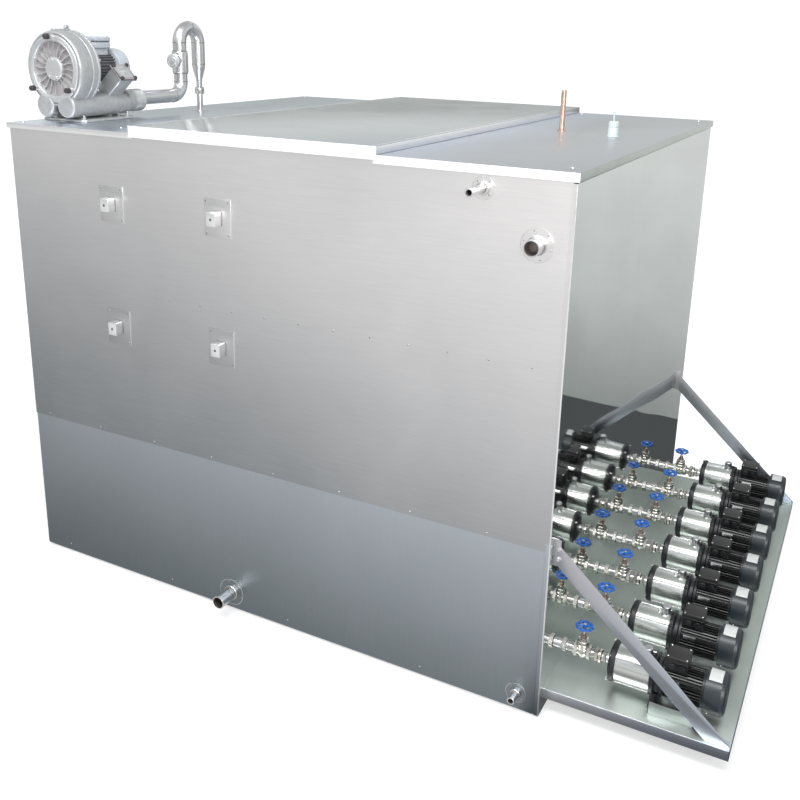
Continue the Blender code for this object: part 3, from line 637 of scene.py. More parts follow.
# The lap's edge catches the light, and small rivets hold it.
for x in (0.07, 0.30, 0.53, 0.76, 0.99, 1.22, 1.45, 1.68):
    s.dome((x, 0, upper[0].z + 0.011), (0, -1, 0), 0.0021, 0.0010, CHROME)
for k in range(11):
    s.dome((0.624 + 0.1152 * k, 0, 1.008), (0, -1, 0), 0.0026, 0.0012, THREAD)
for z in (0.75, 1.18):
    for y in (0.25, 0.65, 1.05, 1.45):
        s.dome((0, y, z), (-1, 0, 0), 0.0026, 0.0012, THREAD)
for x in (0.25, 0.65, 1.05, 1.45):
    s.dome((x, DEPTH, 1.008), (0, 1, 0), 0.0026, 0.0012, THREAD)
for x, z in ((0.4135, 1.281), (0.8145, 1.281), (0.4135, 0.891), (0.8145, 0.891)):
    s.box((x - 0.047, -0.0018, z - 0.056), (x + 0.047, 0.0006, z + 0.056), FRONT, 0.0004)
    # A strip of the bright lip sheet down each plate's right edge: a painted highlight.
    s.box((x + 0.0455, -0.0021, z - 0.056), (x + 0.0472, 0.0003, z + 0.056), LIP, 0.0002)
    for dx in (-0.039, 0.039):
        for dz in (-0.047, 0.047):
            s.dome((x + dx, -0.0018, z + dz), (0, -1, 0), 0.0030, 0.0014, THREAD)
    # Box-section stub with a capped end, a fillet of weld at its root and a small threaded hole, drawn as a dark disc
    # of painted shade.
    s.box((x - 0.016, -0.0328, z - 0.020), (x + 0.016, 0.0004, z + 0.020), LIP, 0.0016, 3)
    s.box((x - 0.0175, -0.0045, z - 0.0215), (x + 0.0175, 0.0002, z + 0.0215), WELD, 0.0020, 3)
    s.lathe(
        [(0, 0.0001), (0.0026, 0.0001), (0.0026, 0.0003), (0.0040, 0.0002), (0.0040, -0.001), (0, -0.001)],
        BORE,
        (x, -0.0328, z),
        (0, -1, 0),
        16,
    )
s.done("upper_wall_sheet", "tank", ("upper_skin",))


# The end sheet is thin and polished, so its slow waves bend what it reflects.
PROUD = 0.0085


def wave(y, z):
    soft = min(y, DEPTH - y, z, 1.474 - z)
    hold = max(0.0, min(1.0, soft / 0.10))
    slow = noise.noise(Vector((y * 2.1 + 3.1, z * 2.6 + 1.7, 0.4)))
    # It stands proud on its folds, and the foam behind it pushes the middle out a little more.
    swell = PROUD + 0.0040 * (1 - abs(2 * y / DEPTH - 1) ** 4) * (1 - abs(2 * z / 1.474 - 1) ** 4)
    long_dent = math.exp(-(((z - 0.60) / 0.085) ** 2)) * math.exp(-(((y - 0.95) / 0.50) ** 2))
    return swell + hold * (0.0014 * slow - 0.0010 * long_dent)


s = Shape()
part = bmesh.new()
rows, columns = 110, 120
z0, z1 = panel_lo.z, panel_hi.z
outer = []
for j in range(rows + 1):
    z = z0 + (z1 - z0) * j / rows
    outer.append(
        [
            part.verts.new((LENGTH + wave(DEPTH * i / columns, z) - 0.0002, DEPTH * i / columns, z))
            for i in range(columns + 1)
        ]
    )
for low, high in zip(outer, outer[1:]):
    for i in range(columns):
        part.faces.new((low[i], low[i + 1], high[i + 1], high[i]))
rim = [outer[0][i] for i in range(columns + 1)]
rim += [outer[j][columns] for j in range(1, rows + 1)]
rim += [outer[rows][i] for i in range(columns - 1, -1, -1)]
rim += [outer[j][0] for j in range(rows - 1, 0, -1)]
back = [part.verts.new((LENGTH - SKIN, v.co.y, v.co.z)) for v in rim]
for k in range(len(rim)):
    m = (k + 1) % len(rim)
    part.faces.new((rim[k], rim[m], back[m], back[k]))
part.faces.new(back)
s.take(part, MIRROR)
s.box((LENGTH - 0.0050, -0.0007, z0), (LENGTH + PROUD - 0.0030, 0.0022, lower[1].z), LOWER, 0.0001, 1)
s.box((LENGTH - 0.0050, -0.0007, lower[1].z), (LENGTH + PROUD - 0.0030, 0.0022, z1), FRONT, 0.0001, 1)
s.box((LENGTH + PROUD - 0.0040, -0.0010, z0), (LENGTH + PROUD + 0.0001, 0.0022, z1), LIP, 0.0008, 3)
s.box((LENGTH - 0.0013, DEPTH - 0.0022, z0), (LENGTH + PROUD + 0.0001, DEPTH + 0.0002, z1), LIP, 0.0008, 3)
s.done("mirror_end_sheet", "tank", ("pump_end_panel",))


# ---------------------------------------------------------------- decks and cover
def folded_sheet(name, lo, hi, lips, material, edge, body, node, top=0.0022, more=None):
    """A flat sheet whose listed sides (-x, +x, -y, +y) fold down by lips, with rounded folds."""
    x0, y0, z0 = lo
    x1, y1, z1 = hi
    shape = Shape()
    r = 0.0022
    part = bmesh.new()
    # One sheet with its top face eased into the folds.
    shape.box((x0 + 0.0005, y0 + 0.0005, z1 - top), (x1 - 0.0005, y1 - 0.0005, z1), material, 0.0007, 3)
    part.free()
    t = 0.0016
    if "-y" in lips:
        shape.box((x0, y0, z0), (x1, y0 + t, z1 - 0.0002), edge, 0.0006, 3)
        shape.box((x0, y0 - 0.0002, z0 - 0.0001), (x1, y0 + 0.004, z0 + 0.0016), edge, 0.0005, 2)
    if "+y" in lips:
        shape.box((x0, y1 - t, z0), (x1, y1, z1 - 0.0002), edge, 0.0006, 3)
        shape.box((x0, y1 - 0.004, z0 - 0.0001), (x1, y1 + 0.0002, z0 + 0.0016), edge, 0.0005, 2)
    if "-x" in lips:
        shape.box((x0, y0, z0), (x0 + t, y1, z1 - 0.0002), edge, 0.0006, 3)
    if "+x" in lips:
        shape.box((x1 - t, y0 + t, z0), (x1, y1 - t, z1 - 0.0002), LIP_SIDE, 0.0006, 3)
    if more:
        more(shape)
    return shape.done(name, body, (node,))


def left_details(shape):
    z = HEIGHT
    for x, y in ((0.030, 0.030), (0.384, 0.090), (0.030, DEPTH - 0.040), (0.470, DEPTH - 0.05)):
        shape.lathe([(0, 0), (0.0065, 0), (0.0065, 0.0008), (0, 0.0008)], CHROME, (x, y, z), steps=20)
        shape.dome((x, y, z + 0.0006), (0, 0, 1), 0.0042, 0.0026, CHROME, 16)


def right_details(shape):
    z = HEIGHT
    for x, y in ((1.8206, 0.072), (1.8206, DEPTH - 0.060), (1.36, DEPTH - 0.05)):
        shape.lathe([(0, 0), (0.0065, 0), (0.0065, 0.0008), (0, 0.0008)], CHROME, (x, y, z), steps=20)
        shape.dome((x, y, z + 0.0006), (0, 0, 1), 0.0042, 0.0026, CHROME, 16)


lo, hi = local("left_deck")
folded_sheet("left_deck_sheet", lo, hi, ("-x", "-y", "+y"), DECK, LIP, "tank", "left_deck", more=left_details)
lo, hi = local("right_deck")
hi = Vector((hi.x + PROUD, hi.y, hi.z))
folded_sheet("right_deck_sheet", lo, hi, ("+x", "-y", "+y"), DECK_RIGHT, LIP_BRIGHT, "tank", "right_deck", more=right_details)


def cover_details(shape):
    lo, hi = local("centre_cover")
    z = hi.z
    # The long sides are folded down onto the decks, with a stiffening step beside each fold.
    for x0, x1 in ((lo.x, lo.x + 0.0016), (hi.x - 0.0016, hi.x)):
        shape.box((x0, lo.y, HEIGHT + 0.0008), (x1, hi.y, z - 0.0002), LIP, 0.0005, 3)
    shape.box((hi.x - 0.016, lo.y + 0.002, z - 0.0004), (hi.x - 0.0142, hi.y - 0.002, z + 0.0006), LIP, 0.0003)
    shape.box((lo.x + 0.0142, lo.y + 0.002, z - 0.0004), (lo.x + 0.016, hi.y - 0.002, z + 0.0006), LIP, 0.0003)


lo, hi = local("centre_cover")
folded_sheet("raised_cover", lo, hi, ("-y", "+y"), COVER, LIP_BRIGHT, "cover", "centre_cover", more=cover_details)

# ---------------------------------------------------------------- shelf and struts
lo, hi = local("pump_shelf")
s = Shape()
s.box((lo.x, lo.y + 0.0005, hi.z - 0.0025), (hi.x - 0.0005, hi.y - 0.0005, hi.z), SHELF, 0.0008, 3)
s.box((lo.x, lo.y, lo.z), (hi.x, lo.y + 0.0025, hi.z - 0.0002), SHELF_EDGE, 0.0008, 3)
s.box((lo.x, hi.y - 0.0025, lo.z), (hi.x, hi.y, hi.z - 0.0002), SHELF_EDGE, 0.0008, 3)
s.box((hi.x - 0.0025, lo.y, lo.z), (hi.x, hi.y, hi.z - 0.0002), SHELF_EDGE, 0.0008, 3)
# Returns under the skirt stiffen it.
s.box((lo.x + 0.002, lo.y + 0.0006, lo.z), (hi.x - 0.002, lo.y + 0.014, lo.z + 0.002), SHELF_EDGE, 0.0005)
s.box((lo.x + 0.002, hi.y - 0.014, lo.z), (hi.x - 0.002, hi.y - 0.0006, lo.z + 0.002), SHELF_EDGE, 0.0005)
s.box((lo.x, lo.y + 0.004, lo.z + 0.002), (lo.x + 0.0025, hi.y - 0.004, hi.z - 0.002), SHELF_EDGE, 0.0005)
s.done("pump_shelf_sheet", "tank", ("pump_shelf",))

for name, side in (("near_strut", 1), ("far_strut", -1)):
    lo, hi = local(name)
    y = lo.y if side > 0 else hi.y - 0.004
    s = Shape()
    foot_x, foot_z = hi.x, lo.z
    bar = [
        (1.8655, 0.5215),
        (1.8655, 0.4605),
        (2.2865, foot_z),
        (foot_x, foot_z),
        (foot_x, foot_z + 0.004),
    ]
    upright = Matrix(((1, 0, 0, 0), (0, 0, -1, y + 0.004), (0, 1, 0, 0), (0, 0, 0, 1)))
    s.prism(bar, 0, 0.004, BAR, upright, 0.0007, 2)
    inner = y + (0.004 if side > 0 else -0.0040)
    web = sorted((y + 0.002, y + 0.002 + side * 0.0045))
    s.box((LENGTH + 0.0003, web[0], 0.456), (1.874, web[1], 0.532), BAR, 0.0007)
    flange = sorted((y + 0.002, y + 0.002 + side * 0.034))
    s.box((LENGTH + 0.0003, flange[0], 0.456), (LENGTH + 0.0036, flange[1], 0.532), BAR, 0.0007)
    foot = sorted((y + 0.002, y + 0.002 + side * 0.022))
    s.box((2.289, foot[0], foot_z), (foot_x - 0.002, foot[1], foot_z + 0.004), BAR, 0.0007)
    for z in (0.468, 0.524):
        at = (LENGTH + 0.0034, y + 0.002 + side * 0.022, z)
        s.lathe([(0, 0), (0.0085, 0), (0.0085, 0.0012), (0, 0.0012)], CHROME, at, (1, 0, 0), 24)
        s.hexagon(Vector(at) + Vector((0.001, 0, 0)), Vector(at) + Vector((0.0055, 0, 0)), 0.0115, CHROME)
    for x, z in ((1.8695, 0.478), (1.8695, 0.508)):
        at = Vector((x, y + 0.002 - side * 0.002, z))
        s.hexagon(at, at + Vector((0, -side * 0.0045, 0)), 0.010, CHROME)
    s.done(name + "_bar", "tank", (name,))

# ---------------------------------------------------------------- wall nozzles
NOZZLES = {
    "filling_nozzle": (0.0107, 0.0075, 0.029, 0.018, 0.0),
    "overflow_nozzle": (0.0212, 0.0182, 0.043, 0.0250, 0.0),
    "return_nozzle": (0.0212, 0.0182, 0.045, 0.0250, 0.0018),
    "drain_nozzle": (0.0107, 0.0075, 0.030, 0.0150, 0.0018),
}
for name, (pipe_r, bore_r, plate_r, root_r, face) in NOZZLES.items():
    lo, hi = local(name)
    x, z = (lo.x + hi.x) / 2, (lo.z + hi.z) / 2
    reach = -lo.y
    s = Shape()
    wall = 0.0002 - face
    s.lathe(
        [
            (bore_r, reach),
            (pipe_r - 0.0006, reach),
            (pipe_r, reach - 0.0006),
            (pipe_r, -0.06),
            (bore_r, -0.06),
        ],
        PIPE,
        (x, 0, z),
        (0, -1, 0),
        48,
    )
    # A dark disc of painted shade closes what is seen down the pipe, and a dark lining of painted shade runs down the
    # bore.
    s.lathe([(0, 0.012 - face), (bore_r, 0.012 - face), (bore_r, 0.010 - face), (0, 0.010 - face)], BORE, (x, 0, z), (0, -1, 0), 32)
    s.lathe(
        [(bore_r, reach - 0.006), (bore_r + 0.0002, reach - 0.006), (bore_r + 0.0002, 0.011), (bore_r - 0.0003, 0.011), (bore_r - 0.0003, reach - 0.006)],
        BORE,
        (x, 0, z),
        (0, -1, 0),
        32,
    )
    s.lathe(
        [(pipe_r, wall - 0.0006), (plate_r, wall - 0.0006), (plate_r, wall + 0.0012), (plate_r - 0.0008, wall + 0.0018), (pipe_r, wall + 0.0018)],
        LOWER if face else FRONT,
        (x, 0, z),
        (0, -1, 0),
        56,
    )
    # The plate's turned edge catches the light.
    s.lathe(
        [(plate_r - 0.0016, wall + 0.0012), (plate_r + 0.0001, wall + 0.0009), (plate_r + 0.0001, wall + 0.0014), (plate_r - 0.0012, wall + 0.0020)],
        CHROME,
        (x, 0, z),
        (0, -1, 0),
        56,
    )
    # Rolled boss and the weld round the pipe.
    s.lathe(
        rounded(
            [(pipe_r, wall + 0.001), (root_r, wall + 0.001), (root_r, wall + 0.0085), (root_r - 0.002, wall + 0.0105), (pipe_r, wall + 0.0115)],
            0.0015,
        ),
        PIPE,
        (x, 0, z),
        (0, -1, 0),
        48,
    )
    s.lathe(
        [(pipe_r, wall + 0.0095), (pipe_r + 0.0022, wall + 0.0100), (pipe_r + 0.0018, wall + 0.0125), (pipe_r, wall + 0.0135)],
        WELD,
        (x, 0, z),
        (0, -1, 0),
        64,
        0.0,
        lambda a, r, h: 0.00025 * math.sin(a * 31),
    )
    rivets = 6 if plate_r > 0.035 else 4
    for k in range(rivets):
        a = math.radians(45 + 360 * k / rivets)
        s.dome(
            (x + (plate_r - 0.0065) * math.cos(a), -(wall + 0.0018), z + (plate_r - 0.0065) * math.sin(a)),
            (0, -1, 0),
            0.0021,
            0.0011,
            THREAD,
            12,
        )
    s.done(name + "_pipe", "tank", (name,))

# ---------------------------------------------------------------- level sensor and refrigerant stub
lo, hi = local("level_sensor")
x, y = (lo.x + hi.x) / 2, (lo.y + hi.y) / 2
s = Shape()
s.lathe(
    rounded([(0, 0.078), (0.0034, 0.078), (0.0034, 0.0705), (0.0022, 0.0700), (0.0022, 0.0490), (0.0135, 0.0480), (0.0160, 0.0450), (0.0160, 0.0305), (0.0150, 0.0295), (0.0150, 0.0275), (0.0165, 0.0265), (0.0165, 0.0003), (0, 0.0003)], 0.0009),
    WHITE,
    (x, y, HEIGHT),
    steps=40,
)
s.lathe([(0, 0.0004), (0.0195, 0.0004), (0.0200, 0.0010), (0.0200, 0.0030), (0.0190, 0.0038), (0, 0.0038)], WHITE, (x, y, HEIGHT), steps=40)
s.lathe(rounded([(0, 0.0695), (0.0040, 0.0695), (0.0040, 0.0782), (0, 0.0782)], 0.0010), WHITE, (x, y, HEIGHT), steps=24)
s.rod((x, y, HEIGHT - 0.40), (x, y, HEIGHT), 0.0038, PIPE, 16)
s.done("level_sensor_body", "tank", ("level_sensor",))

coil_hi = local("evaporator_coil")[1]
stub = Vector((1.515, 0.920, HEIGHT))
s = Shape()
top = coil_hi.z
s.lathe(
    rounded([(0.0058, top - 0.012), (0.0058, top + 0.0004), (0.0083, top + 0.0004), (0.0085, top - 0.001), (0.0085, HEIGHT - 0.01), (0.0058, HEIGHT - 0.01)], 0.0004),
    COPPER,
    (stub.x, stub.y, 0),
    steps=32,
)
s.lathe([(0.0080, 0.0003), (0.0150, 0.0003), (0.0148, 0.0012), (0.0112, 0.0042), (0.0086, 0.0060), (0.0080, 0.0060)], COPPER, stub, steps=36)
# A dark disc of painted shade closes the tube's bore.
s.lathe([(0, top + 0.0003), (0.0060, top + 0.0003), (0.0060, top - 0.004), (0, top - 0.004)], BORE, (stub.x, stub.y, 0), steps=20)
s.done("refrigerant_stub", "tank")

# ---------------------------------------------------------------- pump sets
GATE_X, WHEEL_Z = 0.080, 0.077  # from the wall, and above the pump's axis


def valve_mesh():
    s = Shape()
    x = (1, 0, 0)
    s.lathe([(0.0098, 0.001), (0.0134, 0.001), (0.0134, 0.058), (0.0098, 0.058)], PIPE, (0, 0, 0), x, 32)
    s.lathe([(0.0134, 0.0), (0.0220, 0.0), (0.0220, 0.0022), (0.0160, 0.0060), (0.0134, 0.0062)], WELD, (0, 0, 0), x, 40)
    s.hexagon((0.0205, 0, 0), (0.0360, 0, 0), 0.0335, FITTING)
    for k in range(5):
        h = 0.0385 + 0.0030 * k
        s.lathe([(0.0130, h), (0.0142, h + 0.0008), (0.0142, h + 0.0014), (0.0130, h + 0.0022)], THREAD, (0, 0, 0), x, 32)
    # Cast gate valve body: hexagonal ends, a round waist and the bonnet above it.
    s.hexagon((0.0550, 0, 0), (0.0680, 0, 0), 0.0350, FITTING)
    s.hexagon((0.0920, 0, 0), (0.1050, 0, 0), 0.0350, FITTING)
    s.lathe(
        rounded([(0.0100, 0.0670), (0.0150, 0.0670), (0.0186, 0.0740), (0.0186, 0.0860), (0.0150, 0.0930), (0.0100, 0.0930)], 0.003),
        FITTING,
        (0, 0, 0),
        x,
        36,
    )
    s.lathe(
        rounded([(0, -0.0215), (0.0100, -0.0200), (0.0150, -0.0130), (0.0158, 0.0), (0.0158, 0.0150), (0.0190, 0.0170), (0.0190, 0.0215), (0.0172, 0.0235), (0.0168, 0.0300), (0.0150, 0.0335), (0, 0.0335)], 0.0015),
        FITTING,
        (GATE_X, 0, 0),
        (0, 0, 1),
        36,
    )
    s.hexagon((GATE_X, 0, 0.0325), (GATE_X, 0, 0.0415), 0.0270, FITTING, 0.3)
    s.hexagon((GATE_X, 0, 0.0415), (GATE_X, 0, 0.0505), 0.0165, BRONZE, 0.1)
    s.lathe(rounded([(0, 0.0515), (0.0066, 0.0515), (0.0066, 0.0570), (0, 0.0570)], 0.001), BRONZE, (GATE_X, 0, 0), (0, 0, 1), 24)
    # Nipple, union nut and the pump's suction pipe.
    for k in range(3):
        h = 0.1060 + 0.0030 * k
        s.lathe([(0.0120, h), (0.0134, h + 0.0008), (0.0134, h + 0.0014), (0.0120, h + 0.0022)], THREAD, (0, 0, 0), x, 32)
    s.lathe([(0.0098, 0.1040), (0.0125, 0.1040), (0.0125, 0.1597), (0.0098, 0.1597)], PIPE, (0, 0, 0), x, 32)
    s.hexagon((0.1155, 0, 0), (0.1270, 0, 0), 0.0390, FITTING, 0.25)
    s.lathe(rounded([(0.0120, 0.1270), (0.0190, 0.1270), (0.0196, 0.1290), (0.0190, 0.1350), (0.0150, 0.1375), (0.0120, 0.1375)], 0.001), FITTING, (0, 0, 0), x, 36)
    s.hexagon((0.1400, 0, 0), (0.1490, 0, 0), 0.0290, FITTING, 0.4)
    return s


def wheel_mesh():
    """A lobed wheel with a dished web and a nut, about its own middle."""
    s = Shape()
    count = 96
    path = []
    for k in range(count):
        a = 2 * math.pi * k / count
        r = 0.0212 + 0.0014 * math.cos(8 * a)
        path.append((r * math.cos(a), r * math.sin(a), 0.0))
    s.tube(path, 0.0038, BLUE, 14, True, (0, 0, 1))
    for k in range(4):
        a = 2 * math.pi * k / 4 + 0.35
        c, d = math.cos(a), math.sin(a)
        s.tube(
            [(0.005 * c, 0.005 * d, 0.0022), (0.011 * c, 0.011 * d, 0.0020), (0.0165 * c, 0.0165 * d, 0.0006), (0.0215 * c, 0.0215 * d, 0.0)],
            [0.0044, 0.0037, 0.0033, 0.0036],
            BLUE,
            10,
        )
    s.lathe(rounded([(0, -0.0050), (0.0060, -0.0050), (0.0072, -0.0010), (0.0072, 0.0030), (0.0058, 0.0048), (0, 0.0048)], 0.001), BLUE, steps=28)
    s.rod((0, 0, -0.0250), (0, 0, 0.0068), 0.0034, CHROME, 16)
    s.hexagon((0, 0, 0.0042), (0, 0, 0.0070), 0.0085, CHROME)
    return s


def pump_mesh():
    s = Shape()
    x = (1, 0, 0)
    drop = local("pump_shelf")[1].z - 0.158
    # Suction cover ring, polished stage sleeve and discharge bracket.
    s.lathe(
        rounded([(0.0100, 0.1603), (0.0400, 0.1603), (0.0440, 0.1640), (0.0540, 0.1650), (0.0560, 0.1670), (0.0560, 0.1780), (0.0545, 0.1797), (0.0470, 0.1797), (0.0100, 0.1797)], 0.0012),
        BLACK_SATIN,
        (0, 0, 0),
        x,
        56,
    )
    s.lathe(rounded([(0.0470, 0.1790), (0.0500, 0.1790), (0.0505, 0.1800), (0.0505, 0.2750), (0.0470, 0.2750)], 0.0006), SLEEVE, (0, 0, 0), x, 72)
    s.lathe([(0.0500, 0.1805), (0.0514, 0.1812), (0.0514, 0.1834), (0.0500, 0.1842)], SLEEVE, (0, 0, 0), x, 72)
    s.lathe([(0.0500, 0.2690), (0.0514, 0.2698), (0.0514, 0.2732), (0.0500, 0.2740)], SLEEVE, (0, 0, 0), x, 72)
    s.lathe(
        rounded([(0.0100, 0.2745), (0.0530, 0.2745), (0.0555, 0.2765), (0.0555, 0.2850), (0.0480, 0.2900), (0.0480, 0.2998), (0.0100, 0.2998)], 0.0012),
        BLACK_SATIN,
        (0, 0, 0),
        x,
        56,
    )
    for a in (45, 135, 225, 315):
        t = math.radians(a)
        y, z = 0.0527 * math.cos(t), 0.0527 * math.sin(t)
        s.rod((0.1640, y, z), (0.2860, y, z), 0.0021, CHROME, 14)
        s.hexagon((0.1575, y, z), (0.1628, y, z), 0.0072, CHROME)
        s.lathe(
            rounded([(0, 0.2735), (0.0056, 0.2735), (0.0056, 0.2865), (0, 0.2865)], 0.0008),
            BLACK_SATIN,
            (0, y, z),
            x,
            20,
        )
    # Filler plug in its boss.
    s.lathe(rounded([(0, 0.040), (0.0128, 0.040), (0.0118, 0.0565), (0, 0.0565)], 0.001), PLUG, (0.258, 0, 0), (0, 0, 1), 28)
    s.lathe(rounded([(0, 0.0560), (0.0122, 0.0560), (0.0127, 0.0570), (0.0127, 0.0705), (0.0114, 0.0728), (0.0060, 0.0730), (0, 0.0727)], 0.0010), PLUG, (0.258, 0, 0), (0, 0, 1), 36)
    s.lathe([(0.0085, 0.0727), (0.0098, 0.0727), (0.0098, 0.0732), (0.0085, 0.0732)], CHROME, (0.258, 0, 0), (0, 0, 1), 36)
    s.rod((0.2395, 0, 0.048), (0.2395, 0, 0.0575), 0.0042, CHROME, 20, 0.001)
    s.hexagon((0.2750, 0.0, 0.0530), (0.2750, 0.0, 0.0600), 0.0100, BLACK_SATIN)
    # Foot, in a galvanised channel whose flanges stand up.
    s.box((0.2775, -0.0335, drop + 0.0030), (0.2978, 0.0335, -0.040), BLACK_SATIN, 0.0025, 3)
    s.box((0.2770, -0.0460, drop + 0.0030), (0.2982, 0.0460, drop + 0.0095), BLACK_SATIN, 0.0015, 3)
    s.box((0.2845, -0.0690, drop + 0.0004), (0.4000, 0.0690, drop + 0.0030), GALVANISED, 0.0006)
    for side in (-1, 1):
        y0, y1 = sorted((side * 0.0690, side * 0.0665))
        s.box((0.2845, y0, drop + 0.0006), (0.4000, y1, drop + 0.0370), GALVANISED, 0.0007)
        s.hexagon((0.2885, side * 0.0405, drop + 0.0090), (0.2885, side * 0.0405, drop + 0.0150), 0.0095, CHROME)
        s.lathe([(0, drop + 0.0090), (0.0070, drop + 0.0090), (0.0070, drop + 0.0102), (0, drop + 0.0102)], CHROME, (0.2885, side * 0.0405, 0), (0, 0, 1), 20)
        s.dome((0.375, side * 0.055, drop + 0.0030), (0, 0, 1), 0.0045, 0.003, CHROME)
    return s


def motor_mesh():
    s = Shape()
    x = (1, 0, 0)
    fins = 36
    outline = []
    for k in range(fins):
        a = 2 * math.pi * k / fins
        step = 2 * math.pi / fins
        for t, r in ((-0.50, 0.0408), (-0.24, 0.0412), (-0.13, 0.0492), (-0.06, 0.0498), (0.06, 0.0498), (0.13, 0.0492), (0.24, 0.0412)):
            outline.append((r * math.cos(a + t * step), r * math.sin(a + t * step)))
    along = Matrix(((0, 0, 1, 0), (1, 0, 0, 0), (0, 1, 0, 0), (0, 0, 0, 1)))
    s.prism(outline, 0.3080, 0.4085, BLACK, along)
    s.lathe(
        rounded([(0.0100, 0.3004), (0.0470, 0.3004), (0.0495, 0.3025), (0.0495, 0.3090), (0.0460, 0.3100), (0.0100, 0.3100)], 0.001),
        BLACK_SATIN,
        (0, 0, 0),
        x,
        56,
    )
    s.lathe(rounded([(0.0100, 0.4060), (0.0480, 0.4060), (0.0490, 0.4075), (0.0490, 0.4160), (0.0100, 0.4160)], 0.001), BLACK_SATIN, (0, 0, 0), x, 56)
    # Fan cover, with a grille of rings and bars in its end.
    s.lathe(
        rounded([(0.0555, 0.4140), (0.0578, 0.4140), (0.0580, 0.4160), (0.0580, 0.4560), (0.0555, 0.4640), (0.0505, 0.4678), (0.0470, 0.4680), (0.0470, 0.4660), (0.0500, 0.4655), (0.0545, 0.4610), (0.0560, 0.4540)], 0.001),
        FAN,
        (0, 0, 0),
        x,
        64,
    )
    for r in (0.0150, 0.0230, 0.0310, 0.0390, 0.0470):
        s.lathe([(r - 0.0016, 0.4655), (r + 0.0016, 0.4655), (r + 0.0016, 0.4680), (r - 0.0016, 0.4680)], FAN, (0, 0, 0), x, 48)
    s.lathe([(0, 0.4650), (0.0100, 0.4650), (0.0100, 0.4680), (0, 0.4680)], FAN, (0, 0, 0), x, 32)
    for k in range(8):
        a = 2 * math.pi * k / 8 + 0.39
        matrix = Matrix.Rotation(a, 4, "X")
        s.box((0.4652, 0.008, -0.0018), (0.4678, 0.050, 0.0018), FAN, 0.0003, 1, matrix)
    s.lathe([(0, 0.4440), (0.0540, 0.4440), (0.0540, 0.4460), (0, 0.4460)], BLACK, (0, 0, 0), x, 40)
    for a in (222, 342):
        t = math.radians(a)
        s.dome((0.4270, 0.0579 * math.cos(t), 0.0579 * math.sin(t)), (0, math.cos(t), math.sin(t)), 0.0030, 0.0020, CHROME)
    # A bare blank plate is riveted over the fins, on the side towards the nozzle face.
    part = bmesh.new()
    rows = []
    for rr in (0.0496, 0.0503):
        for h in (0.3180, 0.3520):
            row = []
            for k in range(5):
                a = math.radians(150 + 14 * k / 4)
                row.append(part.verts.new((h, rr * math.cos(a), rr * math.sin(a))))
            rows.append(row)
    a0, a1, b0, b1 = rows
    for k in range(4):
        part.faces.new((b0[k], b0[k + 1], b1[k + 1], b1[k]))
        part.faces.new((a0[k], a1[k], a1[k + 1], a0[k + 1]))
        part.faces.new((a0[k], a0[k + 1], b0[k + 1], b0[k]))
        part.faces.new((a1[k], b1[k], b1[k + 1], a1[k + 1]))
    part.faces.new((a0[0], b0[0], b1[0], a1[0]))
    part.faces.new((a0[4], a1[4], b1[4], b0[4]))
    s.take(part, CHROME)
    # Blank rating plate bent over the top of the fan cover, on the side away from the wall's nozzles.
    part = bmesh.new()
    rows = []
    for r in (0.0580, 0.0587):
        for h in (0.4210, 0.4540):
            row = []
            for k in range(11):
                a = math.radians(62 + 56 * k / 10)
                row.append(part.verts.new((h, r * math.cos(a), r * math.sin(a))))
            rows.append(row)
    a0, a1, b0, b1 = rows
    for k in range(10):
        part.faces.new((b0[k], b0[k + 1], b1[k + 1], b1[k]))
        part.faces.new((a0[k], a1[k], a1[k + 1], a0[k + 1]))
        part.faces.new((a0[k], a0[k + 1], b0[k + 1], b0[k]))
        part.faces.new((a1[k], b1[k], b1[k + 1], a1[k + 1]))
    part.faces.new((a0[0], b0[0], b1[0], a1[0]))
    part.faces.new((a0[10], a1[10], b1[10], b0[10]))
    s.take(part, PLATE)
    # Terminal box: body, gasket line, lid with bright screws, and knock-outs on its near side.
    s.box((0.3085, -0.0290, 0.0400), (0.3665, 0.0290, 0.0715), BLACK, 0.0022, 3)
    s.box((0.3100, -0.0275, 0.0712), (0.3650, 0.0275, 0.0724), GASKET, 0.0002, 1)
    s.box((0.3080, -0.0300, 0.0722), (0.3670, 0.0300, 0.0848), BOX_LID, 0.0028, 3)
    for dx in (-0.0245, 0.0245):
        for dy in (-0.0255, 0.0255):
            s.dome((0.3375 + dx, dy, 0.0846), (0, 0, 1), 0.0027, 0.0014, CHROME)
    s.lathe(rounded([(0, 0.0285), (0.0088, 0.0285), (0.0088, 0.0315), (0.0070, 0.0325), (0, 0.0325)], 0.0006), BLACK_SATIN, (0.3255, 0, 0.0560), (0, -1, 0), 24)
    s.lathe(rounded([(0, 0.0285), (0.0088, 0.0285), (0.0088, 0.0310), (0.0070, 0.0316), (0, 0.0316)], 0.0006), BLACK_SATIN, (0.3500, 0, 0.0560), (0, -1, 0), 24)
    s.lathe(rounded([(0, 0.0285), (0.0092, 0.0285), (0.0092, 0.0350), (0.0075, 0.0400), (0, 0.0400)], 0.0008), BLACK_SATIN, (0.3375, 0, 0.0560), (0, 1, 0), 24)
    return s


def shared(shape, name):
    mesh = bpy.data.meshes.new(name)
    shape.mesh.to_mesh(mesh)
    shape.mesh.free()
    for material in shape.materials:
        mesh.materials.append(material)
    mesh.set_sharp_from_angle(angle=math.radians(33))
    return mesh


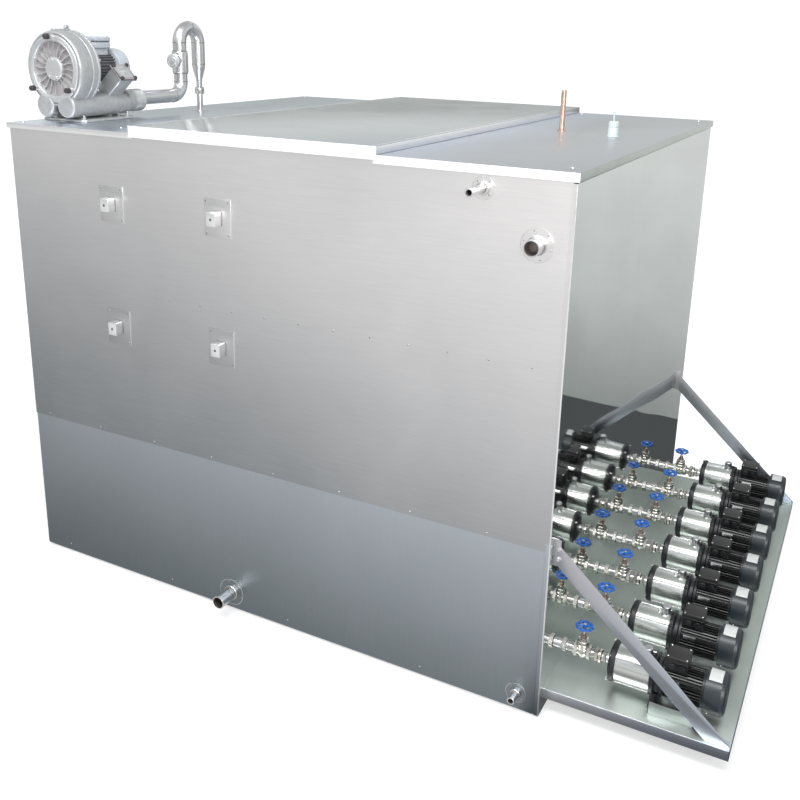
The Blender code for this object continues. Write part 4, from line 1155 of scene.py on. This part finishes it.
valve_data = shared(valve_mesh(), "gate_valve_body")
wheel_data = shared(wheel_mesh(), "lobed_wheel")
pump_data = shared(pump_mesh(), "stage_pump")
motor_data = shared(motor_mesh(), "finned_motor")
for i in range(1, 8):
    lo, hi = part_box(f"rotor_{i}")
    at = Vector((panel_hi.x, (lo.y + hi.y) / 2, (lo.z + hi.z) / 2))
    piece(f"gate_valve_body_{i}", valve_data, "tank", (f"gate_valve_{i}",), at)
    piece(f"stage_pump_{i}", pump_data, "tank", (f"pump_{i}",), at)
    piece(f"finned_motor_{i}", motor_data, "tank", (f"motor_{i}",), at)
    lo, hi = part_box(f"handwheel_{i}")
    centre = Vector((panel_hi.x + GATE_X, (lo.y + hi.y) / 2, at.z + WHEEL_Z))
    piece(f"lobed_wheel_{i}", wheel_data, f"wheel_{i}", (f"handwheel_{i}",), centre)

# ---------------------------------------------------------------- blower
BX, BZ = 0.101, 1.665
Y = (0, 1, 0)

lo, hi = local("blower_base")
s = Shape()
plate = [
    (0.020, 0.1250),
    (0.052, 0.1250),
    (0.062, 0.1300),
    (0.140, 0.1300),
    (0.150, 0.1250),
    (0.184, 0.1250),
    (0.196, 0.1370),
    (0.196, 0.3480),
    (0.184, 0.3600),
    (0.020, 0.3600),
    (0.008, 0.3480),
    (0.008, 0.1370),
]
s.prism(plate, HEIGHT + 0.0008, HEIGHT + 0.0085, CAST, None, 0.0016, 2)
for x, y in ((0.028, 0.145), (0.176, 0.145), (0.028, 0.340), (0.176, 0.340)):
    s.lathe([(0, 0.0080), (0.0095, 0.0080), (0.0095, 0.0098), (0, 0.0098)], CHROME, (x, y, HEIGHT), steps=24)
    s.hexagon((x, y, HEIGHT + 0.0096), (x, y, HEIGHT + 0.0150), 0.0120, CHROME)
    s.rod((x, y, HEIGHT + 0.0140), (x, y, HEIGHT + 0.0230), 0.0032, CHROME, 16)
for x in (0.055, 0.146):
    for y in (0.165, 0.320):
        s.box((x - 0.014, y - 0.006, HEIGHT + 0.0080), (x + 0.014, y + 0.006, 1.5215), CAST, 0.0010)
s.done("blower_base_plate", "tank", ("blower_base",))

s = Shape()
# Side-channel casing: a drum with an eased front edge, a parting groove and a bolted rear flange.
s.lathe(
    rounded(
        [
            (0.0120, 0.2000),
            (0.0600, 0.2000),
            (0.0780, 0.1985),
            (0.0960, 0.1995),
            (0.1085, 0.1965),
            (0.1155, 0.1890),
            (0.1178, 0.1840),
            (0.1178, 0.1590),
            (0.1164, 0.1580),
            (0.1164, 0.1545),
            (0.1178, 0.1535),
            (0.1178, 0.1200),
            (0.1160, 0.1100),
            (0.1128, 0.1055),
            (0.1092, 0.1045),
            (0.1073, 0.1065),
            (0.1073, 0.1180),
            (0.0885, 0.1180),
            (0.0885, 0.1920),
            (0.0120, 0.1920),
        ],
        0.002,
    ),
    CAST,
    (BX, 0, BZ),
    Y,
    96,
)
s.lathe(rounded([(0.1150, 0.1795), (0.1198, 0.1800), (0.1198, 0.1868), (0.1150, 0.1875)], 0.0008), CAST_BRIGHT, (BX, 0, BZ), Y, 96)
for k in range(10):
    a = 2 * math.pi * k / 10 + 0.26
    at = Vector((BX + 0.1110 * math.cos(a), 0.1890, BZ + 0.1110 * math.sin(a)))
    s.lathe(rounded([(0, 0), (0.0058, 0), (0.0058, 0.0070), (0, 0.0070)], 0.0008), CAST_BRIGHT, at, Y, 18)
    s.hexagon(at + Vector((0, 0.0065, 0)), at + Vector((0, 0.0098, 0)), 0.0066, CHROME)
for k in range(20):
    a = 2 * math.pi * k / 20
    matrix = Matrix.Translation((BX, 0, BZ)) @ Matrix.Rotation(a, 4, "Y")
    s.box((0.0640, 0.1960, -0.0012), (0.1060, 0.2015, 0.0012), CAST, 0.0005, 1, matrix)
# A rib over the drum, with a lifting lug at its rear end.
s.box((BX - 0.0085, 0.1120, BZ + 0.1120), (BX + 0.0085, 0.1800, BZ + 0.1222), CAST, 0.0020, 3)
s.lathe(rounded([(0.0035, -0.0045), (0.0085, -0.0045), (0.0085, 0.0045), (0.0035, 0.0045)], 0.001), CAST_BRIGHT, (BX, 0.1700, BZ + 0.1260), (1, 0, 0), 24)
# Silencers, with dished end caps.
for x, end in ((0.055, 0.355), (0.146, 0.360)):
    s.lathe(
        rounded([(0, 0.1005), (0.0325, 0.1005), (0.0348, 0.1018), (0.0362, 0.1045), (0.0365, 0.1090), (0.0365, 0.1160), (0.0361, 0.1170), (0.0361, end - 0.004), (0.0350, end), (0, end)], 0.001),
        CAST,
        (x, 0, 1.550),
        Y,
        56,
    )
    s.lathe([(0.0300, 0.1002), (0.0322, 0.1000), (0.0326, 0.1006), (0.0300, 0.1008)], CAST_BRIGHT, (x, 0, 1.550), Y, 56)
s.box((0.060, 0.1280, 1.5480), (0.140, 0.1850, 1.5950), CAST, 0.006, 3)
# Ports rise from the silencers into the casing.
for x in (0.060, 0.142):
    s.lathe(rounded([(0.0100, -0.020), (0.0290, -0.020), (0.0260, 0.020), (0.0270, 0.046), (0.0100, 0.046)], 0.003), CAST, (x, 0.158, 1.566), (0, 0, 1), 32)
# Cast outlet collar, finely ribbed towards the pipe.
ribs = [(0.0366, 0.3530), (0.0366, 0.3830)]
for k in range(8):
    h = 0.3850 + 0.0052 * k
    ribs += [(0.0362, h), (0.0373, h + 0.0008), (0.0373, h + 0.0028), (0.0362, h + 0.0036)]
ribs += [(0.0370, 0.4265), (0.0370, 0.4290)]
s.lathe([(0.0240, 0.3530)] + ribs + [(0.0240, 0.4290)], CAST, (0.148, 0, 1.556), Y, 56)
# Relief duct: a square duct leaning out to the right, with a gasketed flange and four knobs.
out = Vector((0.743, 0, 0.670)).normalized()
mid = Vector((0.2115, 0.300, 1.655))
across = Vector((out.z, 0, -out.x))
duct = Matrix(
    (
        (across.x, 0, out.x, mid.x),
        (0, 1, 0, mid.y),
        (across.z, 0, out.z, mid.z),
        (0, 0, 0, 1),
    )
)
s.box((-0.0275, -0.0305, -0.1080), (0.0275, 0.0305, -0.0040), CAST_BRIGHT, 0.004, 3, duct)
s.box((-0.0335, -0.0365, -0.0080), (0.0335, 0.0365, -0.0035), CAST_BRIGHT, 0.0012, 2, duct)
s.box((-0.0325, -0.0355, -0.0036), (0.0325, 0.0355, -0.0020), GASKET, 0.0003, 1, duct)
s.box((-0.0310, -0.0340, -0.0021), (0.0310, 0.0340, 0.0008), DARK_CAST, 0.0008, 2, duct)
s.box((-0.0230, -0.0250, 0.0004), (0.0230, 0.0250, 0.0014), CAST_BRIGHT, 0.0006, 2, duct)
turned_out = duct.to_3x3()
for dx in (-0.0265, 0.0265):
    for dy in (-0.0295, 0.0295):
        at = duct @ Vector((dx, dy, 0.0006))
        s.lathe(rounded([(0, -0.004), (0.0062, -0.004), (0.0068, 0.003), (0.0056, 0.0055), (0, 0.0055)], 0.001), RUBBER, at, out, 20)
s.lathe([(0.0075, 0.0010), (0.0115, 0.0010), (0.0115, 0.0024), (0.0075, 0.0024)], CHROME, duct @ Vector((0, 0, 0)), out, 28)
s.lathe(rounded([(0, 0.0005), (0.0050, 0.0005), (0.0050, 0.0030), (0, 0.0030)], 0.0006), CHROME, duct @ Vector((0, 0, 0)), out, 20)
s.done("blower_volute", "tank", ("blower_casing",))

s = Shape()
# Open front: a domed hub and thin curved spokes, set back inside a broad rim, over the impeller. The disc of darker
# casting behind the spokes is painted shade.
s.lathe([(0, 0.1174), (0.1050, 0.1174), (0.1050, 0.1150), (0, 0.1150)], DARK_CAST, (BX, 0, BZ), Y, 64)
s.lathe(
    rounded([(0.0815, 0.1165), (0.1062, 0.1165), (0.1062, 0.1060), (0.1045, 0.1022), (0.0990, 0.1004), (0.0905, 0.1000), (0.0860, 0.1018), (0.0835, 0.1085)], 0.001),
    CAST_BRIGHT,
    (BX, 0, BZ),
    Y,
    88,
)
s.lathe([(0.0920, 0.1004), (0.0932, 0.0994), (0.0944, 0.1004), (0.0932, 0.1010)], CAST, (BX, 0, BZ), Y, 88)
s.lathe(rounded([(0, 0.1165), (0.0385, 0.1165), (0.0372, 0.1085), (0.0350, 0.1035), (0.0290, 0.1014), (0, 0.1011)], 0.0015), CAST_BRIGHT, (BX, 0, BZ), Y, 56)
for k in range(20):
    a = 2 * math.pi * k / 20 + 0.08
    matrix = Matrix.Translation((BX, 0, BZ)) @ Matrix.Rotation(a, 4, "Y")
    part = bmesh.new()
    low, high = [], []
    for t in range(7):
        r = 0.0345 + (0.0850 - 0.0345) * t / 6
        y = 0.1075 + 0.0020 * t / 6 - 0.0015 * math.sin(math.pi * t / 6)
        bend = 0.0040 * math.sin(math.pi * t / 6)
        half = 0.0011 + 0.0003 * t / 6
        for row, dz in ((low, bend - half), (high, bend + half)):
            row.append((part.verts.new((r, y, dz)), part.verts.new((r, 0.1155, dz))))
    for t in range(6):
        part.faces.new((low[t][0], low[t + 1][0], high[t + 1][0], high[t][0]))
        part.faces.new((low[t][1], high[t][1], high[t + 1][1], low[t + 1][1]))
        part.faces.new((low[t][0], low[t][1], low[t + 1][1], low[t + 1][0]))
        part.faces.new((high[t][0], high[t + 1][0], high[t + 1][1], high[t][1]))
    part.faces.new((low[0][0], high[0][0], high[0][1], low[0][1]))
    part.faces.new((low[6][0], low[6][1], high[6][1], high[6][0]))
    s.take(part, CAST_BRIGHT, matrix)
for angle in (-128, -62, 90):
    a = math.radians(angle)
    x, z = BX + 0.0275 * math.cos(a), BZ + 0.0275 * math.sin(a)
    s.dome((x, 0.1016, z), (0, -1, 0), 0.0034, 0.0020, CHROME)
for angle in (89, 219, 320):
    a = math.radians(angle)
    x, z = BX + 0.0985 * math.cos(a), BZ + 0.0985 * math.sin(a)
    s.lathe(rounded([(0, 0.1172), (0.0110, 0.1172), (0.0092, 0.1060), (0.0080, 0.0900), (0, 0.0900)], 0.001), CAST_BRIGHT, (x, 0, z), Y, 24)
    s.lathe(rounded([(0, 0.0915), (0.0082, 0.0915), (0.0088, 0.0895), (0.0086, 0.0780), (0.0072, 0.0745), (0, 0.0740)], 0.0014), RUBBER, (x, 0, z), Y, 24)
s.done("blower_front", "tank", ("blower_cover",))

s = Shape()
outline = []
fins = 30
for k in range(fins):
    a = 2 * math.pi * k / fins
    step = 2 * math.pi / fins
    for t, r in ((-0.5, 0.0410), (-0.22, 0.0415), (-0.12, 0.0492), (0.12, 0.0492), (0.22, 0.0415)):
        outline.append((r * math.cos(a + t * step), r * math.sin(a + t * step)))
away = Matrix(((1, 0, 0, BX), (0, 0, 1, 0), (0, -1, 0, BZ), (0, 0, 0, 1)))
s.prism(outline, 0.2080, 0.3380, MOTOR_GREY, away)
s.lathe(rounded([(0.0120, 0.2016), (0.0560, 0.2016), (0.0575, 0.2030), (0.0575, 0.2090), (0.0120, 0.2090)], 0.001), CAST, (BX, 0, BZ), Y, 56)
s.lathe(
    rounded([(0.0100, 0.3340), (0.0600, 0.3340), (0.0620, 0.3370), (0.0620, 0.3740), (0.0590, 0.3835), (0.0500, 0.3878), (0.0100, 0.3878)], 0.002),
    BOX_GREY,
    (BX, 0, BZ),
    Y,
    64,
)
for r in (0.012, 0.020, 0.028, 0.036, 0.044):
    s.lathe([(r - 0.0016, 0.3872), (r + 0.0016, 0.3872), (r + 0.0016, 0.3880), (r - 0.0016, 0.3880)], BLACK_SATIN, (BX, 0, BZ), Y, 48)
s.box((BX - 0.0280, 0.2620, BZ + 0.0400), (BX + 0.0280, 0.3180, BZ + 0.0640), BOX_GREY, 0.003, 3)
s.box((BX - 0.0350, 0.2570, BZ + 0.0620), (BX + 0.0350, 0.3230, BZ + 0.0830), BOX_GREY, 0.004, 3)
s.box((BX - 0.0345, 0.2575, BZ + 0.0828), (BX + 0.0345, 0.3225, BZ + 0.0840), GASKET, 0.0003, 1)
s.box((BX - 0.0360, 0.2560, BZ + 0.0838), (BX + 0.0360, 0.3240, BZ + 0.0998), BOX_GREY, 0.005, 4)
for dx in (-0.0290, 0.0290):
    for y in (0.2630, 0.3170):
        s.dome((BX + dx, y, BZ + 0.0996), (0, 0, 1), 0.0028, 0.0014, CHROME)
s.lathe(rounded([(0, 0), (0.0090, 0), (0.0090, 0.0060), (0.0070, 0.0090), (0, 0.0090)], 0.001), BLACK_SATIN, (BX - 0.0345, 0.290, BZ + 0.073), (-1, 0, 0), 24)
s.done("blower_motor_body", "tank", ("blower_motor",))

# ---------------------------------------------------------------- riser pipe, relief valve and drop pipe
RX, LEG_Y, DROP_Y = 0.150, 0.652, 0.755
RUN_Z, TOP_Z, R = 1.562, 1.798, 0.0240


def arc(centre, start, end, radius, u, v, count):
    centre, u, v = Vector(centre), Vector(u), Vector(v)
    return [
        centre
        + radius
        * (
            math.cos(math.radians(start + (end - start) * i / count)) * u
            + math.sin(math.radians(start + (end - start) * i / count)) * v
        )
        for i in range(count + 1)
    ]


s = Shape()
leg = 0.048
top_r = (DROP_Y - LEG_Y) / 2
route = [Vector((RX, 0.4303, RUN_Z)), Vector((RX, 0.50, RUN_Z)), Vector((RX, 0.58, RUN_Z))]
route += arc((RX, LEG_Y - leg, RUN_Z + leg), -90, 0, leg, (0, 1, 0), (0, 0, 1), 12)
route += [Vector((RX, LEG_Y, z)) for z in (1.66, 1.70, 1.73)]
route += arc((RX, (DROP_Y + LEG_Y) / 2, TOP_Z - top_r), 180, 0, top_r, (0, 1, 0), (0, 0, 1), 20)
route += [Vector((RX, DROP_Y, z)) for z in (1.72, 1.69, 1.668)]
s.tube(route, R, PIPE, 40)


def bead(at, direction, r, width=0.0022):
    s.lathe(
        [(r - 0.001, -width), (r + 0.0006, -width * 0.6), (r + 0.0010, 0), (r + 0.0006, width * 0.6), (r - 0.001, width)],
        WELD,
        at,
        direction,
        64,
        0.0,
        lambda a, rr, h: 0.00018 * math.sin(a * 37),
    )


bead((RX, LEG_Y - leg, RUN_Z), Y, R)
bead((RX, LEG_Y, RUN_Z + leg), (0, 0, 1), R)
bead((RX, LEG_Y, TOP_Z - top_r), (0, 0, 1), R)
bead((RX, DROP_Y, TOP_Z - top_r), (0, 0, 1), R)
bead((RX, (DROP_Y + LEG_Y) / 2, TOP_Z), Y, R)
s.lathe(rounded([(0.0200, 1.640), (0.0265, 1.640), (0.0285, 1.643), (0.0285, 1.713), (0.0265, 1.716), (0.0200, 1.716)], 0.002), PIPE, (RX, LEG_Y, 0), (0, 0, 1), 48)
bead((RX, LEG_Y, 1.640), (0, 0, 1), 0.0262, 0.0026)
bead((RX, LEG_Y, 1.716), (0, 0, 1), 0.0262, 0.0026)
knob = Vector((0.25, -0.968, 0)).normalized()
valve = Vector((RX, LEG_Y, 1.684))
s.lathe(rounded([(0, 0.018), (0.0175, 0.018), (0.0160, 0.036), (0.0160, 0.045), (0, 0.045)], 0.002), FITTING, valve, knob, 36)
s.lathe(rounded([(0, 0.0415), (0.0235, 0.0415), (0.0250, 0.0430), (0.0250, 0.0555), (0.0235, 0.0590), (0.0130, 0.0602), (0.0120, 0.0619), (0, 0.0619)], 0.0012), CAST_BRIGHT, valve, knob, 44, 0.0, lambda a, r, h: 0.0004 * math.cos(a * 22) if r > 0.0245 else 0.0)
s.lathe([(0.0165, 0.0590), (0.0185, 0.0612), (0.0200, 0.0600), (0.0190, 0.0585)], CAST, valve, knob, 44)
s.lathe(rounded([(0, 0.0605), (0.0060, 0.0605), (0.0060, 0.0626), (0, 0.0626)], 0.0006), CAST, valve, knob, 24)
s.lathe(
    rounded([(0, 1.676), (0.0240, 1.676), (0.0240, 1.662), (0.0215, 1.650), (0.0140, 1.622), (0.0107, 1.612), (0.0107, 1.5865), (0, 1.5865)], 0.003),
    PIPE,
    (RX, DROP_Y, 0),
    (0, 0, 1),
    48,
)
bead((RX, DROP_Y, 1.6700), (0, 0, 1), R)
bead((RX, DROP_Y, 1.6110), (0, 0, 1), 0.0107, 0.0016)
s.done("riser_pipe_run", "tank", ("riser_pipe",))

s = Shape()
s.hexagon((RX, DROP_Y, 1.5615), (RX, DROP_Y, 1.5745), 0.0315, FITTING)
s.lathe(rounded([(0.0105, 1.5740), (0.0172, 1.5740), (0.0172, 1.5800), (0.0140, 1.5862), (0.0105, 1.5862)], 0.001), FITTING, (RX, DROP_Y, 0), (0, 0, 1), 36)
s.lathe(rounded([(0.0080, 1.4950), (0.0111, 1.4950), (0.0111, 1.5650), (0.0080, 1.5650)], 0.0004), PIPE, (RX, DROP_Y, 0), (0, 0, 1), 32)
s.lathe(rounded([(0.0108, 0.0003), (0.0300, 0.0003), (0.0300, 0.0018), (0.0190, 0.0022), (0.0125, 0.0060), (0.0108, 0.0062)], 0.0006), PIPE, (RX, DROP_Y, HEIGHT), (0, 0, 1), 40)
s.done("drop_pipe_union", "tank")

# ---------------------------------------------------------------- floor and light
floor_mesh = bpy.data.meshes.new("floor")
shape = bmesh.new()
bmesh.ops.create_grid(shape, x_segments=1, y_segments=1, size=40)
shape.to_mesh(floor_mesh)
shape.free()
floor = bpy.data.objects.new("floor", floor_mesh)
bpy.context.scene.collection.objects.link(floor)
n = Nodes("pale_floor")
n.surface((0.52, 0.52, 0.525), 0.9, 0.0, Specular_IOR_Level=0.0)
n.shader.inputs["Emission Color"].default_value = (1.0, 1.0, 1.0, 1)
# What the sheets mirror: a glow only glossy rays see, painted shade that darkens the floor towards the tank and to the
# left, and most of all beside the pumps.
axes = n.add("ShaderNodeSeparateXYZ")
n.join(n.coords, axes.inputs[0])
n.join(n.spread(axes.outputs["Y"], CORNER.y + 0.2, CORNER.y + 2.6, 0.50, 0.80, True), n.shader.inputs["Emission Strength"])
ahead = n.spread(axes.outputs["Y"], CORNER.y - 0.1, CORNER.y - 3.2, 0.70, 1.0, True)
aside = n.spread(axes.outputs["X"], CORNER.x - 2.4, CORNER.x + 1.6, 0.79, 1.0, True)
open_floor = n.maths("MULTIPLY", ahead, aside)
beside = n.maths(
    "MULTIPLY",
    n.spread(axes.outputs["X"], panel_hi.x - 0.06, panel_hi.x - 0.02, 0.0, 1.0),
    n.spread(axes.outputs["Y"], CORNER.y - 0.55, CORNER.y + 0.15, 0.0, 1.0, True),
)
tone_and_painted_light = n.blend(beside, (1.0, 1.0, 1.0), (0.135, 0.145, 0.15))
glow = n.add("ShaderNodeEmission")
n.join(tone_and_painted_light, glow.inputs["Color"])
n.join(open_floor, glow.inputs["Strength"])
path = n.add("ShaderNodeLightPath")
choose = n.add("ShaderNodeMixShader")
n.join(path.outputs["Is Glossy Ray"], choose.inputs[0])
n.join(n.shader.outputs[0], choose.inputs[1])
n.join(glow.outputs[0], choose.inputs[2])
n.join(choose.outputs[0], n.tree.nodes["Material Output"].inputs["Surface"])
floor_mesh.materials.append(n.material)

# A grey flag stands behind the tank, off to the pump end. Only reflections see it.
flag_mesh = bpy.data.meshes.new("grey_flag")
far_y = CORNER.y + 2.35
flag_mesh.from_pydata(
    [
        (panel_hi.x + 0.004, far_y, 0.0),
        (panel_hi.x + 4.0, far_y, 0.0),
        (panel_hi.x + 4.0, far_y, 2.2),
        (panel_hi.x + 0.004, far_y, 2.2),
    ],
    [],
    [(0, 1, 2, 3)],
)
flag = bpy.data.objects.new("grey_flag", flag_mesh)
bpy.context.scene.collection.objects.link(flag)
n = Nodes("grey_flag_cloth")
axes = n.add("ShaderNodeSeparateXYZ")
n.join(n.coords, axes.inputs[0])
climb = n.add("ShaderNodeValToRGB")
n.join(n.spread(axes.outputs["Z"], 0.0, 1.25, 0.0, 1.0), climb.inputs["Fac"])
stops = climb.color_ramp.elements
stops[0].position, stops[0].color = 0.0, (0.37, 0.40, 0.385, 1)
stops[1].position, stops[1].color = 1.0, (0.90, 0.91, 0.90, 1)
for place, level in ((0.14, 0.47), (0.30, 0.57), (0.46, 0.69), (0.66, 0.77), (0.86, 0.86)):
    stop = stops.new(place)
    stop.color = (level * 0.975, level * 1.005, level, 1)
mottle = n.spread(n.noise(2.4, 4.0, (1, 1, 1), 0.6), 0.3, 0.7, 0.94, 1.05)
glow = n.add("ShaderNodeEmission")
n.join(climb.outputs["Color"], glow.inputs["Color"])
n.join(mottle, glow.inputs["Strength"])
n.join(glow.outputs[0], n.tree.nodes["Material Output"].inputs["Surface"])
flag_mesh.materials.append(n.material)
flag.visible_camera = False
flag.visible_diffuse = False
flag.visible_shadow = False
flag.visible_transmission = False

world = bpy.data.worlds.new("studio")
bpy.context.scene.world = world
world.use_nodes = True
tree = world.node_tree
background = tree.nodes["Background"]
coords = tree.nodes.new("ShaderNodeTexCoord")
split = tree.nodes.new("ShaderNodeSeparateXYZ")
ramp = tree.nodes.new("ShaderNodeValToRGB")
tree.links.new(coords.outputs["Generated"], split.inputs[0])
tree.links.new(split.outputs["Z"], ramp.inputs["Fac"])
stops = ramp.color_ramp.elements
stops[0].position, stops[0].color = 0.0, (0.42, 0.44, 0.43, 1)
stops[1].position, stops[1].color = 1.0, (0.50, 0.53, 0.50, 1)
for place, shade in ((0.07, (0.46, 0.48, 0.46)), (0.16, (0.76, 0.79, 0.78)), (0.30, (0.84, 0.87, 0.84)), (0.55, (0.70, 0.72, 0.77))):
    stop = stops.new(place)
    stop.color = (*shade, 1)
tree.links.new(ramp.outputs["Color"], background.inputs["Color"])
background.inputs["Strength"].default_value = 0.92
# The camera itself looks into a plain white room.
white = tree.nodes.new("ShaderNodeBackground")
white.inputs["Color"].default_value = (1.0, 1.0, 1.0, 1)
white.inputs["Strength"].default_value = 1.05
path = tree.nodes.new("ShaderNodeLightPath")
choose = tree.nodes.new("ShaderNodeMixShader")
tree.links.new(path.outputs["Is Camera Ray"], choose.inputs[0])
tree.links.new(background.outputs[0], choose.inputs[1])
tree.links.new(white.outputs[0], choose.inputs[2])
tree.links.new(choose.outputs[0], tree.nodes["World Output"].inputs["Surface"])
bpy.context.scene.view_settings.view_transform = "Standard"


def softbox(name, at, towards, size, power, colour=(1, 1, 1)):
    light = bpy.data.lights.new(name, "AREA")
    light.shape = "RECTANGLE"
    light.size, light.size_y = size
    light.energy = power
    light.color = colour
    obj = bpy.data.objects.new(name, light)
    bpy.context.scene.collection.objects.link(obj)
    obj.location = at
    obj.rotation_euler = (Vector(towards) - Vector(at)).to_track_quat("-Z", "Y").to_euler()
    return obj


softbox("overhead", (0.3, -2.8, 4.8), (0, 0, 0.6), (4.5, 1.5), 230)
softbox("front_right", (4.2, -5.0, 3.4), (0.3, 0, 0.9), (3.0, 2.4), 200, (1.0, 0.98, 0.96))
